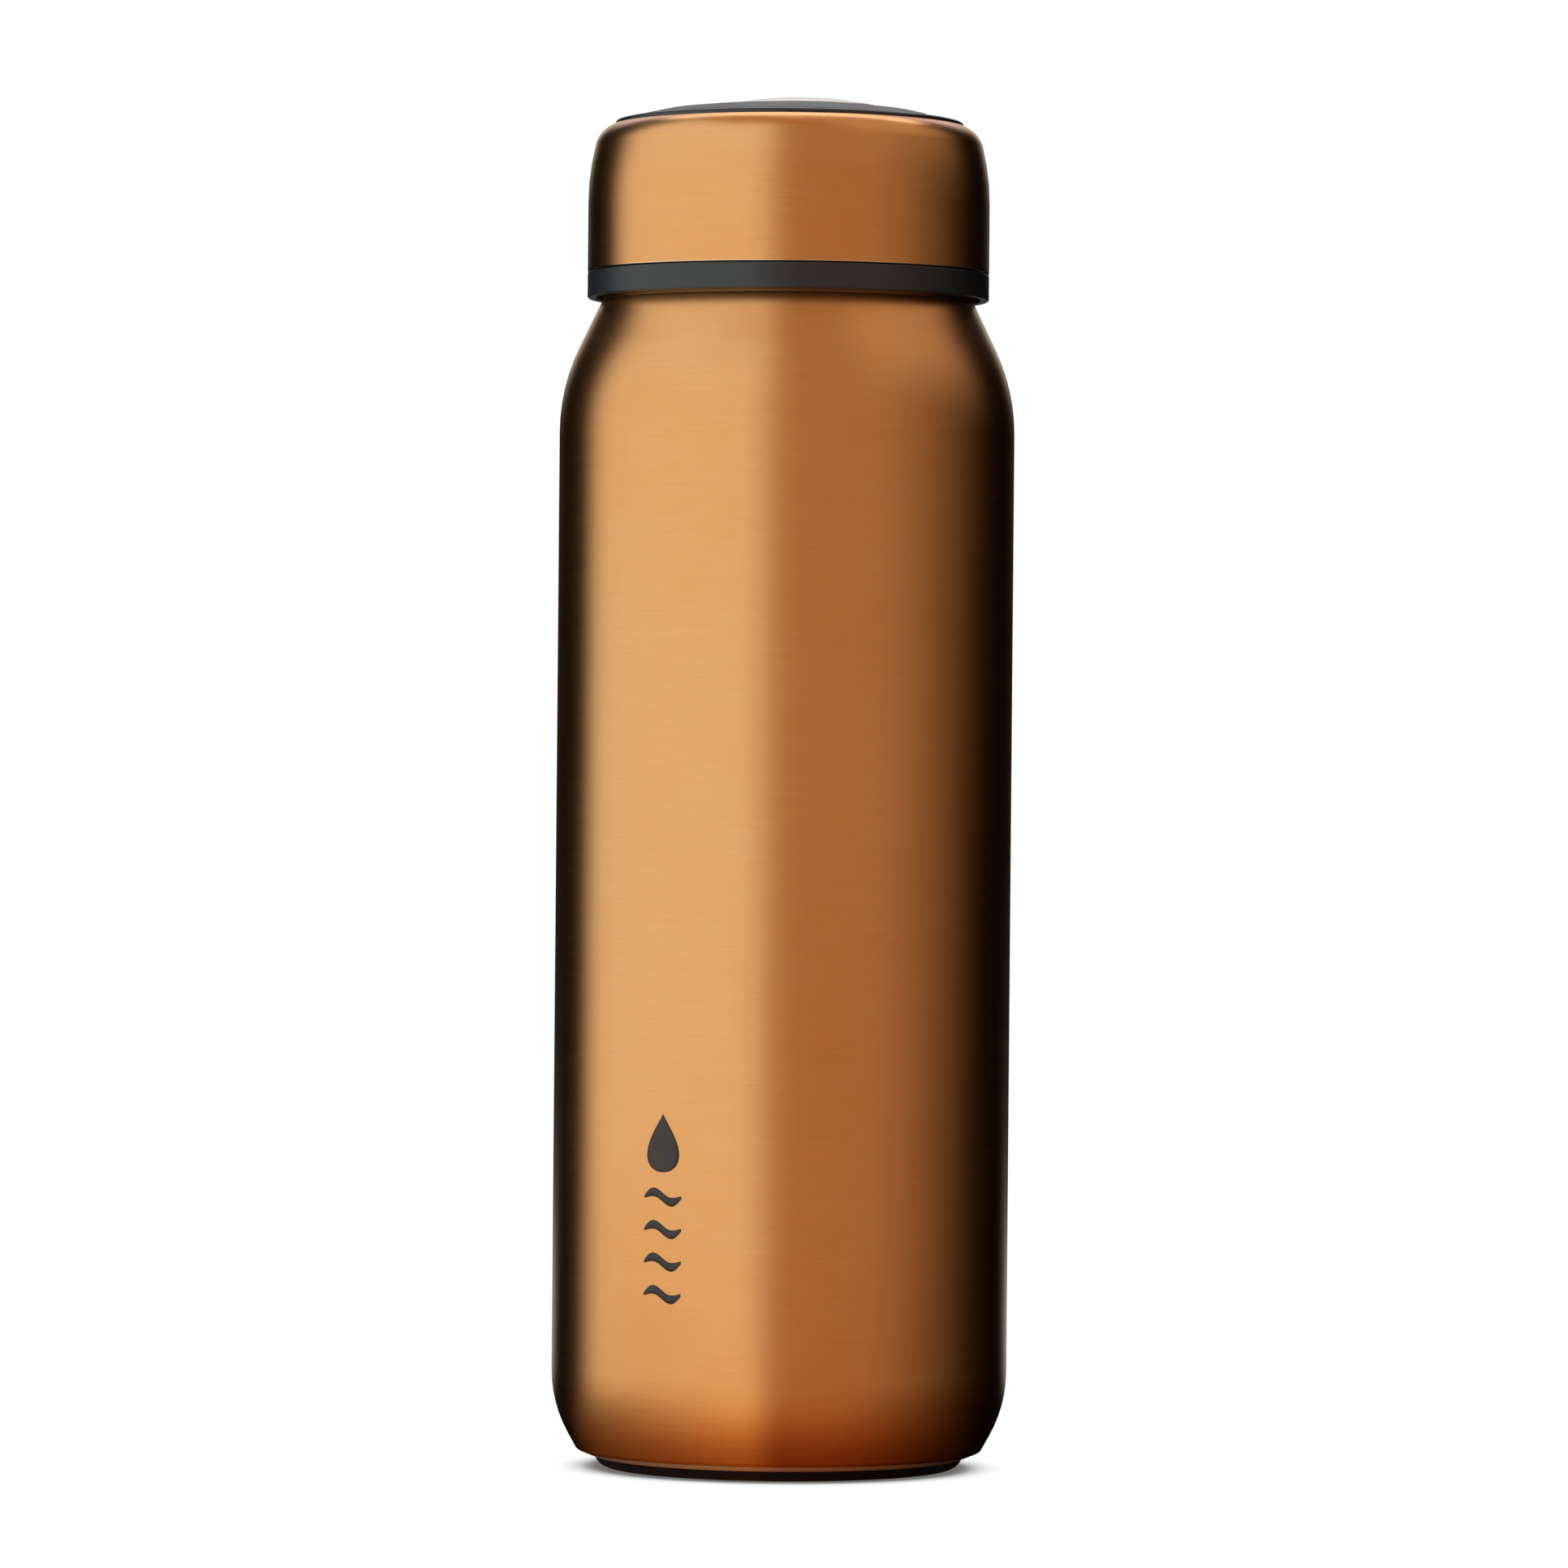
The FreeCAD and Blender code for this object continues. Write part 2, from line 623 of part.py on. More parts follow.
def make_spout_o_ring():
    body = new_body("spout_o_ring")
    sketch = new_sketch(body, "Section")
    draw_circle(sketch, size("o_ring_radius"), size("deck_low_z") - size("o_ring_section"),
                size("o_ring_section"))
    feature = body.newObject("PartDesign::Revolution", "Turned")
    feature.Profile = sketch
    feature.ReferenceAxis = (sketch, ["V_Axis"])
    feature.Angle = 360
    return body


def make_collar_gasket():
    body = new_body("collar_gasket")
    turned(body, [rectangle(
        size("collar_gasket_inner"), size("collar_gasket_outer"),
        size("lip_z") + size("gasket_play"), size("deck_low_z") - size("gasket_play"))])
    return body


# ---------------------------------------------------------------- the cap

def make_cap_gasket():
    body = new_body("cap_gasket")
    turned(body, [rectangle(
        size("cap_gasket_inner"), size("cap_gasket_outer"),
        size("spout_lip_z") + size("gasket_play"), size("core_roof_low_z") - size("gasket_play"))])
    return body


def sleeve_side(inset):
    """The cap sleeve's side from its lower edge to its top flange's inner edge."""
    taper, corner = size("sleeve_taper_arc"), size("sleeve_corner_arc")
    climb = size("sleeve_taper_z") - size("sleeve_straight_z")
    lean_sine = climb / taper
    lean_cosine = root(as_size(1) - lean_sine * lean_sine)
    taper_centre = size("ring_radius") - taper
    top_lean = size("sleeve_top_lean")
    corner_radius = taper_centre + (taper - corner) * lean_cosine
    corner_z = size("sleeve_straight_z") + (taper - corner) * lean_sine
    flange_start = corner_radius + (corner - inset) * cosine(top_lean)
    flange_start_z = corner_z + (corner - inset) * sine(top_lean)
    run = flange_start - size("sleeve_mouth_radius")
    return [
        (size("ring_radius") - inset, size("sleeve_low_z")),
        (size("ring_radius") - inset, size("sleeve_straight_z"), taper - inset, 1),
        (taper_centre + (taper - inset) * lean_cosine,
         size("sleeve_straight_z") + (taper - inset) * lean_sine, corner - inset, 1),
        (flange_start, flange_start_z),
        (size("sleeve_mouth_radius"),
         flange_start_z + run * cosine(top_lean) / sine(top_lean)),
    ]


def make_cap_sleeve():
    body = new_body("cap_sleeve")
    inside = sleeve_side(size("sleeve_wall"))
    turned(body, [sleeve_side(as_size(0)) + [
        inside[4],
        (*inside[3], inside[2][2], -1),
        (*inside[2][:2], inside[1][2], -1),
        inside[1][:2],
        inside[0],
    ]])
    return body


def make_cap_core():
    body = new_body("cap_core")
    bore = size("spout_radius") + size("thread_depth") + size("thread_gap")
    roof_low, roof_high = size("core_roof_low_z"), size("core_roof_high_z")
    turned(body, [[
        (as_size(0), roof_low),
        (bore, roof_low),
        (bore, size("core_thread_low_z")),
        (bore + size("core_thread_wall"), size("core_thread_low_z")),
        (bore + size("core_thread_wall"), roof_low),
        (size("core_inner_radius"), roof_low),
        (size("core_inner_radius"), size("core_low_z")),
        (size("core_radius"), size("core_low_z")),
        (size("core_radius"), size("sleeve_straight_z")),
        (size("core_shoulder_radius"), roof_high),
        (as_size(0), roof_high),
    ]])
    hole = raised(
        body, "ScrewHole", roof_high, roof_high - roof_low + 0.1, kind="PartDesign::Pocket",
        circles=[screw_place() + (size("screw_radius"),)], down=True)
    patterned(body, "ScrewHoles", hole, "screw_count")
    threaded(body, bore, size("spout_thread_z") + size("thread_pitch") / 2, -1)
    return body


def screw_place():
    circle, angle = size("screw_circle"), size("screw_angle")
    return (circle * cosine(angle), circle * sine(angle))


def make_cap_screws():
    body = new_body("one_cap_screw")
    roof = size("core_roof_low_z")
    head_low = roof - size("screw_head_height")
    raised(body, "Head", head_low, size("screw_head_height"),
           circles=[screw_place() + (size("screw_head_radius"),)])
    raised(body, "Shank", roof, size("screw_tip_z") - roof,
           circles=[screw_place() + (size("screw_radius"),)])
    raised(body, "DriveSocket", head_low, size("screw_socket_depth"), kind="PartDesign::Pocket",
           circles=[screw_place() + (size("screw_socket_radius"),)])
    # The screws are separate solids, which one Body can't hold.
    group = doc.addObject("Part::Feature", "screw_group")
    group.Label = "cap_screws"
    count = int(size("screw_count").value)
    screws = [body.Shape.copy() for place in range(count)]
    for place, screw in enumerate(screws):
        screw.rotate(Vector(0, 0, 0), Vector(0, 0, 1), 360 / count * place)
    group.Shape = Part.makeCompound(screws)
    group.Placement = Placement()
    return group


def make_insulation_disc():
    body = new_body("insulation_disc")
    turned(body, [rectangle(
        as_size(0), size("foam_radius"), size("core_roof_high_z") + size("foam_play"),
        size("top_low_z") - size("foam_play"))])
    return body


def dome_outline(drop, low):
    """The dome over the cap: rim, slope and plateau, lowered by drop, closed at height low."""
    return [
        (as_size(0), low),
        (size("top_rim_radius"), low),
        (size("top_rim_radius"), size("top_rim_z") - drop),
        (size("top_rim_radius") - size("top_rim_edge"), size("top_rim_z") + size("top_rim_edge") - drop),
        (size("dome_slope_radius"), size("dome_slope_z") - drop),
        (size("dome_break_radius"), size("dome_break_z") - drop),
        (size("dome_break_radius") * 0.7, size("dome_plateau_z") - drop),
        (as_size(0), size("dome_plateau_z") - drop),
    ]


def make_cap_top():
    body = new_body("cap_top")
    dome = dome_outline(as_size(0), size("top_low_z"))
    flange = size("top_flange_radius")
    turned(body, [[dome[0], (flange, size("top_low_z")), (flange, size("top_flange_z")),
                   (size("top_rim_radius"), size("top_neck_z"))] + dome[2:]])
    above = size("disc_crown_z")
    straight = root(size("recess_radius") * size("recess_radius") - size("hinge_x") * size("hinge_x"))
    recess = new_sketch(body, "RecessSketch", "XY_Plane", above)
    draw_arc_segment(recess, size("recess_radius"), size("hinge_x"), straight)
    draw_circle(recess, size("boss_offset"), 0, size("boss_radius"))
    pocket_down(body, "Recess", recess, above - size("recess_z"))
    above_recess = size("recess_z") + 0.5
    softened(body, "BossEdge", "boss_edge", size("boss_offset"), size("boss_radius"),
             above_recess, above)
    softened(body, "RecessEdge", "recess_edge", as_size(0), size("recess_radius"),
             above_recess, above)
    across_y(body, "Beads", size("bead_half"),
             circle=(size("hinge_x"), size("hinge_z"), size("bead_radius")))
    room = size("knuckle_radius") + size("knuckle_play")
    across_y(body, "KnuckleRoom", size("knuckle_half") + size("knuckle_side_play"), kind="PartDesign::Pocket", outline=[
        (size("hinge_x") - room, above),
        (size("hinge_x") + room, above),
        (size("hinge_x") + room, size("hinge_z") - room),
        (size("hinge_x") - room, size("hinge_z") - room),
    ])
    across_y(body, "PinBore", size("pin_half_length"), kind="PartDesign::Pocket",
             circle=(size("hinge_x"), size("hinge_z"), size("pin_radius")))
    scallop = new_sketch(body, "ScallopSketch", "XY_Plane", above)
    draw_circle(scallop, size("scallop_x"), 0, size("scallop_radius"))
    draw_circle(scallop, size("scallop_x"), 0, size("scallop_radius") * 0.25)
    pocket_down(body, "Scallop", scallop, above - size("scallop_z"))
    seat = new_sketch(body, "SeatSketch", "XY_Plane", above)
    draw_circle(seat, size("boss_offset"), 0, size("disc_radius") + 0.05)
    pocket_down(body, "DiscSeat", seat, above - size("disc_seat_z"))
    boss_low = size("core_roof_high_z")
    raised(body, "ScrewBoss", boss_low, size("top_low_z") - boss_low + 0.2,
           circles=[screw_place() + (size("screw_boss_radius"),)])
    patterned(body, "ScrewBosses", body.Tip, "screw_count")
    hole = raised(body, "ScrewHole", boss_low, size("screw_tip_z") - boss_low,
                  kind="PartDesign::Pocket", circles=[screw_place() + (size("screw_radius"),)])
    patterned(body, "ScrewHoles", hole, "screw_count")
    return body


def draw_arc_segment(sketch, radius, edge_x, half_y):
    """A disc outline about the axis with its +X side cut straight at edge_x."""
    angle = math.atan2(half_y.value, edge_x.value)
    circle = Part.Circle(Vector(0, 0, 0), Vector(0, 0, 1), radius.value)
    arc = sketch.addGeometry(Part.ArcOfCircle(circle, angle, 2 * math.pi - angle), False)
    high, low = (Vector(edge_x.value, half_y.value * side, 0) for side in (1, -1))
    line = sketch.addGeometry(Part.LineSegment(low, high), False)
    sketch.addConstraint(Sketcher.Constraint("Coincident", arc, 3, -1, 1))
    sketch.addConstraint(Sketcher.Constraint("Coincident", arc, 1, line, 2))
    sketch.addConstraint(Sketcher.Constraint("Coincident", arc, 2, line, 1))
    sketch.addConstraint(Sketcher.Constraint("Vertical", line))
    for rule, value in (
            (Sketcher.Constraint("Radius", arc, radius.value), radius),
            (Sketcher.Constraint("DistanceX", -1, 1, line, 2, edge_x.value), edge_x)):
        number = sketch.addConstraint(rule)
        sketch.setExpression(f"Constraints[{number}]", value.text)


def pocket_down(body, name, sketch, depth):
    feature = body.newObject("PartDesign::Pocket", name)
    feature.Profile = sketch
    feature.setExpression("Length", depth.text)
    doc.recompute()
    return feature


def make_top_disc():
    body = new_body("top_disc")
    rise = size("disc_crown_z") - size("disc_edge_z")
    crown = (size("disc_radius") * size("disc_radius") + rise * rise) / (rise * 2)
    turned(body, [[
        (as_size(0), size("disc_seat_z")),
        (size("disc_radius"), size("disc_seat_z")),
        (size("disc_radius"), size("disc_edge_z"), crown, 1),
        (as_size(0), size("disc_crown_z")),
    ]])
    body.Placement = Placement(Vector(size("boss_offset").value, 0, 0), Rotation())
    body.setExpression("Placement.Base.x", size("boss_offset").text)
    return body


def make_loop_hinge_pin():
    body = new_body("loop_hinge_pin")
    across_y(body, "Pin", size("pin_half_length"),
             circle=(size("hinge_x"), size("hinge_z"), size("pin_radius")))
    return body


def loop_outline():
    """Half the folded loop's section before its hole is cut, just below the dome."""
    reach, low, drop = size("loop_radius"), size("loop_low_z"), size("loop_drop")
    slope_radius, slope_z = size("dome_slope_radius"), size("dome_slope_z") - drop
    rim_radius = size("top_rim_radius") - size("top_rim_edge")
    fall = slope_z - (size("top_rim_z") + size("top_rim_edge") - drop)
    reach_z = slope_z - fall * (reach - slope_radius) / (rim_radius - slope_radius)
    return [(as_size(0), low), (reach, low), (reach, reach_z), (slope_radius, slope_z)] + \
        dome_outline(drop, low)[5:]


def make_carry_loop():
    body = new_body("carry_loop")
    turned(body, [loop_outline()])
    above, low = size("disc_crown_z"), size("loop_low_z")
    reach = size("loop_radius")
    depth = above - low + 0.1
    softened(body, "OuterTopEdge", "loop_top_edge", as_size(0), reach, low + 0.5, above)
    softened(body, "OuterLowEdge", "loop_low_edge", as_size(0), reach, low - 0.5, low + 0.5)
    raised(body, "HingeSide", low - 0.1, depth, kind="PartDesign::Pocket",
           outlines=[rectangle(size("loop_end_x"), reach + 1, as_size(0) - reach - 1, reach + 1)])
    hole = new_sketch(body, "HoleSketch", "XY_Plane", above)
    draw_circle(hole, size("boss_offset"), 0, size("loop_hole_radius"))
    pocket_down(body, "FingerHole", hole, depth)
    softened(body, "HoleTopEdge", "loop_top_edge", size("boss_offset"), size("loop_hole_radius"),
             low + 0.5, above)
    softened(body, "HoleLowEdge", "loop_low_edge", size("boss_offset"), size("loop_hole_radius"),
             low - 0.5, low + 0.5)
    across_y(body, "Web", size("web_half"), outline=[
        (size("loop_end_x") - 0.5, low),
        (size("hinge_x"), low),
        (size("hinge_x"), size("hinge_z") + size("knuckle_radius") - 0.05),
        (size("loop_end_x") - 0.5, size("hinge_z") + size("knuckle_radius")),
    ])
    across_y(body, "Knuckle", size("knuckle_half"),
             circle=(size("hinge_x"), size("hinge_z"), size("knuckle_radius")))
    across_y(body, "PinBore", size("knuckle_half") + 1, kind="PartDesign::Pocket",
             circle=(size("hinge_x"), size("hinge_z"), size("pin_radius") + size("pin_play")))
    return body


MAKERS = [
    make_outer_shell, make_inner_vessel, make_base_plate, make_vacuum_seal, make_getter,
    make_radiation_shield, make_base_pad, make_collar_ring, make_drinking_spout,
    make_spout_o_ring, make_collar_gasket, make_cap_gasket, make_cap_sleeve, make_cap_core,
    make_cap_screws, make_insulation_disc, make_cap_top, make_top_disc, make_loop_hinge_pin,
    make_carry_loop,
]


def main():
    pieces = [maker() for maker in MAKERS]
    doc.recompute()
    for item in doc.Objects:
        if "Invalid" in item.State or "Error" in item.State:
            raise RuntimeError(f"{item.Label} did not build: {item.State}")
    for piece in pieces:
        if piece.Shape.isNull() or not piece.Shape.isValid():
            raise RuntimeError(f"{piece.Label} has no valid shape")
    os.makedirs("parts", exist_ok=True)
    for piece in pieces:
        piece.Shape.exportStep(f"parts/{piece.Label}.step")
        print(piece.Label, len(piece.Shape.Solids), round(piece.Shape.Volume, 1))


main()
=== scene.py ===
import math

import bpy
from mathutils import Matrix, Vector


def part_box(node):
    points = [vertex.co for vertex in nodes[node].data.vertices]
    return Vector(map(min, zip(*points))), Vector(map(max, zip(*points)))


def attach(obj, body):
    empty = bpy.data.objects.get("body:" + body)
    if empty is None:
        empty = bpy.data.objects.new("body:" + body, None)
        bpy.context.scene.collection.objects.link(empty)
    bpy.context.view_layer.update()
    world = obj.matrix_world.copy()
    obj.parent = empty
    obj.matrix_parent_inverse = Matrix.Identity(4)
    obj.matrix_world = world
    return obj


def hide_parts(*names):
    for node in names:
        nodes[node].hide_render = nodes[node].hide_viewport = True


# An insulated water bottle with a copper-tinted, brushed steel shell and cap sleeve.
# Shapes are written in millimetres; outlines are (radius, height, fillet) points turned about
# an upright axis. Camera, studio and materials are in metres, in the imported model's own frame.

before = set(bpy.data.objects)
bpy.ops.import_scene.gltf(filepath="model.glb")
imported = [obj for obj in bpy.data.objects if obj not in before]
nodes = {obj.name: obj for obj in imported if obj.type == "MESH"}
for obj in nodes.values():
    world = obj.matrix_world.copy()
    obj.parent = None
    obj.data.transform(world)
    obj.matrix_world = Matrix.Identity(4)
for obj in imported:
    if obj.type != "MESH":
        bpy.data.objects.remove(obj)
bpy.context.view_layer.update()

MM = 0.001
FULL_TURN = 2 * math.pi
ARC_STEP = math.radians(5)


def top_of(node):
    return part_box(node)[1].z / MM


def bottom_of(node):
    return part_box(node)[0].z / MM


def radius_of(node):
    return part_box(node)[1].y / MM


# ------------------------------------------------------------------ sizes, in millimetres

BODY_R = round(radius_of("outer_shell"), 1)
FOOT_Z = bottom_of("outer_shell")
LIP_Z = top_of("outer_shell")
WALL = 0.6
PAD_R = radius_of("base_pad")
PLATE_R = radius_of("base_plate")
HEEL_LEAN = math.radians(29.0)
HEEL_ARC = 21.7
FOOT_CORNER_R = 33.8
SHOULDER_LEAN = math.radians(25.5)
SHOULDER_ARC = 32.55
SHOULDER_START_Z = 172.6
SHOULDER_TOP_R = 31.02
STEP_Z = 195.3
NECK_R = 27.6

RING_R = radius_of("collar_ring")
RING_LOW_Z = bottom_of("collar_ring")
RING_HIGH_Z = 199.25
DECK_Z = top_of("collar_ring")
GROOVE_ROOF_Z = 198.0
GROOVE_OUTER_R = 32.0
GROOVE_INNER_R = 30.5
COLLAR_R = 30.9
RIB_COUNT = 24
RIB_WIDTH = 0.8
RIB_LOW_Z = 195.9

SPOUT_R = 21.5
SPOUT_BORE_R = 19.0
SPOUT_FLANGE_R = radius_of("drinking_spout")
SPOUT_LOW_Z = bottom_of("drinking_spout")
SPOUT_LIP_Z = top_of("drinking_spout")
DECK_LOW_Z = 205.5
O_RING_SEAT_OUTER_R = 23.95
O_RING_SEAT_INNER_R = 22.65
O_RING_SEAT_DEPTH = 1.3

SLEEVE_LOW_Z = bottom_of("cap_sleeve")
SLEEVE_TAPER_LEAN = math.radians(14.04)
SLEEVE_TAPER_Z = 215.92
SLEEVE_TAPER_ARC = 40.0
SLEEVE_CORNER_ARC = 4.6
SLEEVE_TOP_LEAN = math.radians(65.0)
SLEEVE_MOUTH_R = 29.2
SLEEVE_MOUTH_Z = top_of("cap_sleeve")
SLEEVE_WALL = 0.5

DISC_LOW, DISC_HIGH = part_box("top_disc")
DISC_X = (DISC_LOW.x + DISC_HIGH.x) / 2 / MM
DISC_R = radius_of("top_disc")
DISC_SEAT_Z = DISC_LOW.z / MM
DISC_CROWN_Z = DISC_HIGH.z / MM
DISC_EDGE_Z = 227.25

# The printed mark is left of the middle of the front, low on the body.
MARK_ANGLE = math.radians(-120.4)
INK_HEIGHT = 0.03

THREAD_STARTS = 3
THREAD_LEAD = 12.0
THREAD_RISE = 4.6
THREAD_DEPTH = 0.9
THREAD_ROOT_HALF = 1.05
THREAD_CREST_HALF = 0.45
NECK_THREAD_Z = 198.75
SPOUT_THREAD_Z = 209.4
THREAD_GAP = 0.5


# ------------------------------------------------------------------ mesh tools

def fillet_arc(before, here, after, radius):
    """Points of the arc that rounds the corner at here."""
    back, ahead = (before - here).normalized(), (after - here).normalized()
    half = back.angle(ahead) / 2
    centre = here + (back + ahead).normalized() * (radius / math.sin(half))
    start = here + back * (radius / math.tan(half)) - centre
    turn = math.pi - 2 * half
    side = 1 if start.cross(here - centre) > 0 else -1
    steps = max(3, math.ceil(turn / ARC_STEP))
    points = []
    for step in range(steps + 1):
        angle = side * turn * step / steps
        cosine, sine = math.cos(angle), math.sin(angle)
        points.append(centre + Vector((start.x * cosine - start.y * sine,
                                       start.x * sine + start.y * cosine)))
    return points


def rounded(corners, closed=True, support=0.5):
    """An outline through (radius, height, fillet) corners, held flat beside each fillet."""
    count = len(corners)
    runs = []
    for place, corner in enumerate(corners):
        here = Vector(corner[:2])
        fillet = corner[2] if len(corner) > 2 else 0
        if fillet and (closed or 0 < place < count - 1):
            before = Vector(corners[place - 1][:2])
            after = Vector(corners[(place + 1) % count][:2])
            runs.append(fillet_arc(before, here, after, fillet))
        else:
            runs.append([here])
    points = []
    for place, run in enumerate(runs):
        points += run
        if place == count - 1 and not closed:
            break
        following = runs[(place + 1) % count][0]
        gap = following - run[-1]
        if gap.length > 3 * support:
            points.append(run[-1] + gap.normalized() * support)
            points.append(following - gap.normalized() * support)
    return [(point.x, point.y) for point in points]


def new_object(name, vertices, faces, smooth=True):
    mesh = bpy.data.meshes.new(name)
    mesh.from_pydata([tuple(c * MM for c in v) for v in vertices], [], faces)
    mesh.validate()
    mesh.update()
    if smooth:
        mesh.polygons.foreach_set("use_smooth", [True] * len(mesh.polygons))
    piece = bpy.data.objects.new(name, mesh)
    bpy.context.scene.collection.objects.link(piece)
    return piece


def turned_mesh(outline, segments, closed=True, centre_x=0.0):
    """Vertices and faces of an outline turned about the axis; a point at radius 0 is a pole."""
    vertices, faces, rings = [], [], []
    for radius, height in outline:
        if radius < 1e-6:
            rings.append([len(vertices)] * segments)
            vertices.append((centre_x, 0.0, height))
            continue
        rings.append(list(range(len(vertices), len(vertices) + segments)))
        for turn in range(segments):
            angle = FULL_TURN * turn / segments
            vertices.append((centre_x + radius * math.cos(angle), radius * math.sin(angle), height))
    pairs = list(zip(rings, rings[1:] + rings[:1])) if closed else list(zip(rings, rings[1:]))
    for low, high in pairs:
        if low[0] == low[1] and high[0] == high[1]:
            continue
        for turn in range(segments):
            following = (turn + 1) % segments
            corners = [low[turn], low[following], high[following], high[turn]]
            unique = list(dict.fromkeys(corners))
            faces.append(unique)
    return vertices, faces


def ridge_mesh(wall_radius, outward, start_z, bite=0.1, step=math.radians(3),
               fade=math.radians(16)):
    """The thread's helical ridges on a wall; their ends fade into it."""
    vertices, faces = [], []
    sweep = FULL_TURN * THREAD_RISE / THREAD_LEAD
    count = math.ceil(sweep / step)
    section = [(-bite, -THREAD_ROOT_HALF), (0.0, -THREAD_ROOT_HALF),
               (0.75, -THREAD_CREST_HALF - 0.12), (1.0, -THREAD_CREST_HALF + 0.1),
               (1.0, THREAD_CREST_HALF - 0.1), (0.75, THREAD_CREST_HALF + 0.12),
               (0.0, THREAD_ROOT_HALF), (-bite, THREAD_ROOT_HALF)]
    size = len(section)
    for start in range(THREAD_STARTS):
        first = len(vertices)
        for place in range(count + 1):
            angle = sweep * place / count
            ease = min(1.0, angle / fade, (sweep - angle) / fade)
            ease = 0.06 + 0.94 * ease * ease * (3 - 2 * ease)
            turn = angle + FULL_TURN * start / THREAD_STARTS
            for depth, height in section:
                proud = depth * THREAD_DEPTH * (ease if depth > 0 else 1)
                radius = wall_radius + outward * proud
                squeeze = ease if depth > 0 else 1
                vertices.append((radius * math.cos(turn), radius * math.sin(turn),
                                 start_z + angle / FULL_TURN * THREAD_LEAD + height * squeeze))
        for place in range(count):
            low, high = first + place * size, first + (place + 1) * size
            for corner in range(size):
                following = (corner + 1) % size
                faces.append([low + corner, low + following, high + following, high + corner])
        faces.append(list(range(first + size - 1, first - 1, -1)))
        last = first + count * size
        faces.append(list(range(last, last + size)))
    return vertices, faces


def joined(*meshes):
    """Several (vertices, faces) as one."""
    vertices, faces = [], []
    for more_vertices, more_faces in meshes:
        first = len(vertices)
        vertices += more_vertices
        faces += [[first + corner for corner in face] for face in more_faces]
    return vertices, faces


def turn_outwards(piece):
    """Makes every closed shell's normals point outwards."""
    bpy.context.view_layer.objects.active = piece
    piece.select_set(True)
    bpy.ops.object.mode_set(mode="EDIT")
    bpy.ops.mesh.select_all(action="SELECT")
    bpy.ops.mesh.normals_make_consistent(inside=False)
    bpy.ops.object.mode_set(mode="OBJECT")
    piece.select_set(False)


def finished(piece, body, slot_name, *replaced):
    turn_outwards(piece)
    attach(piece, body)
    if replaced:
        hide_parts(*replaced)
    return piece


# ------------------------------------------------------------------ material tools

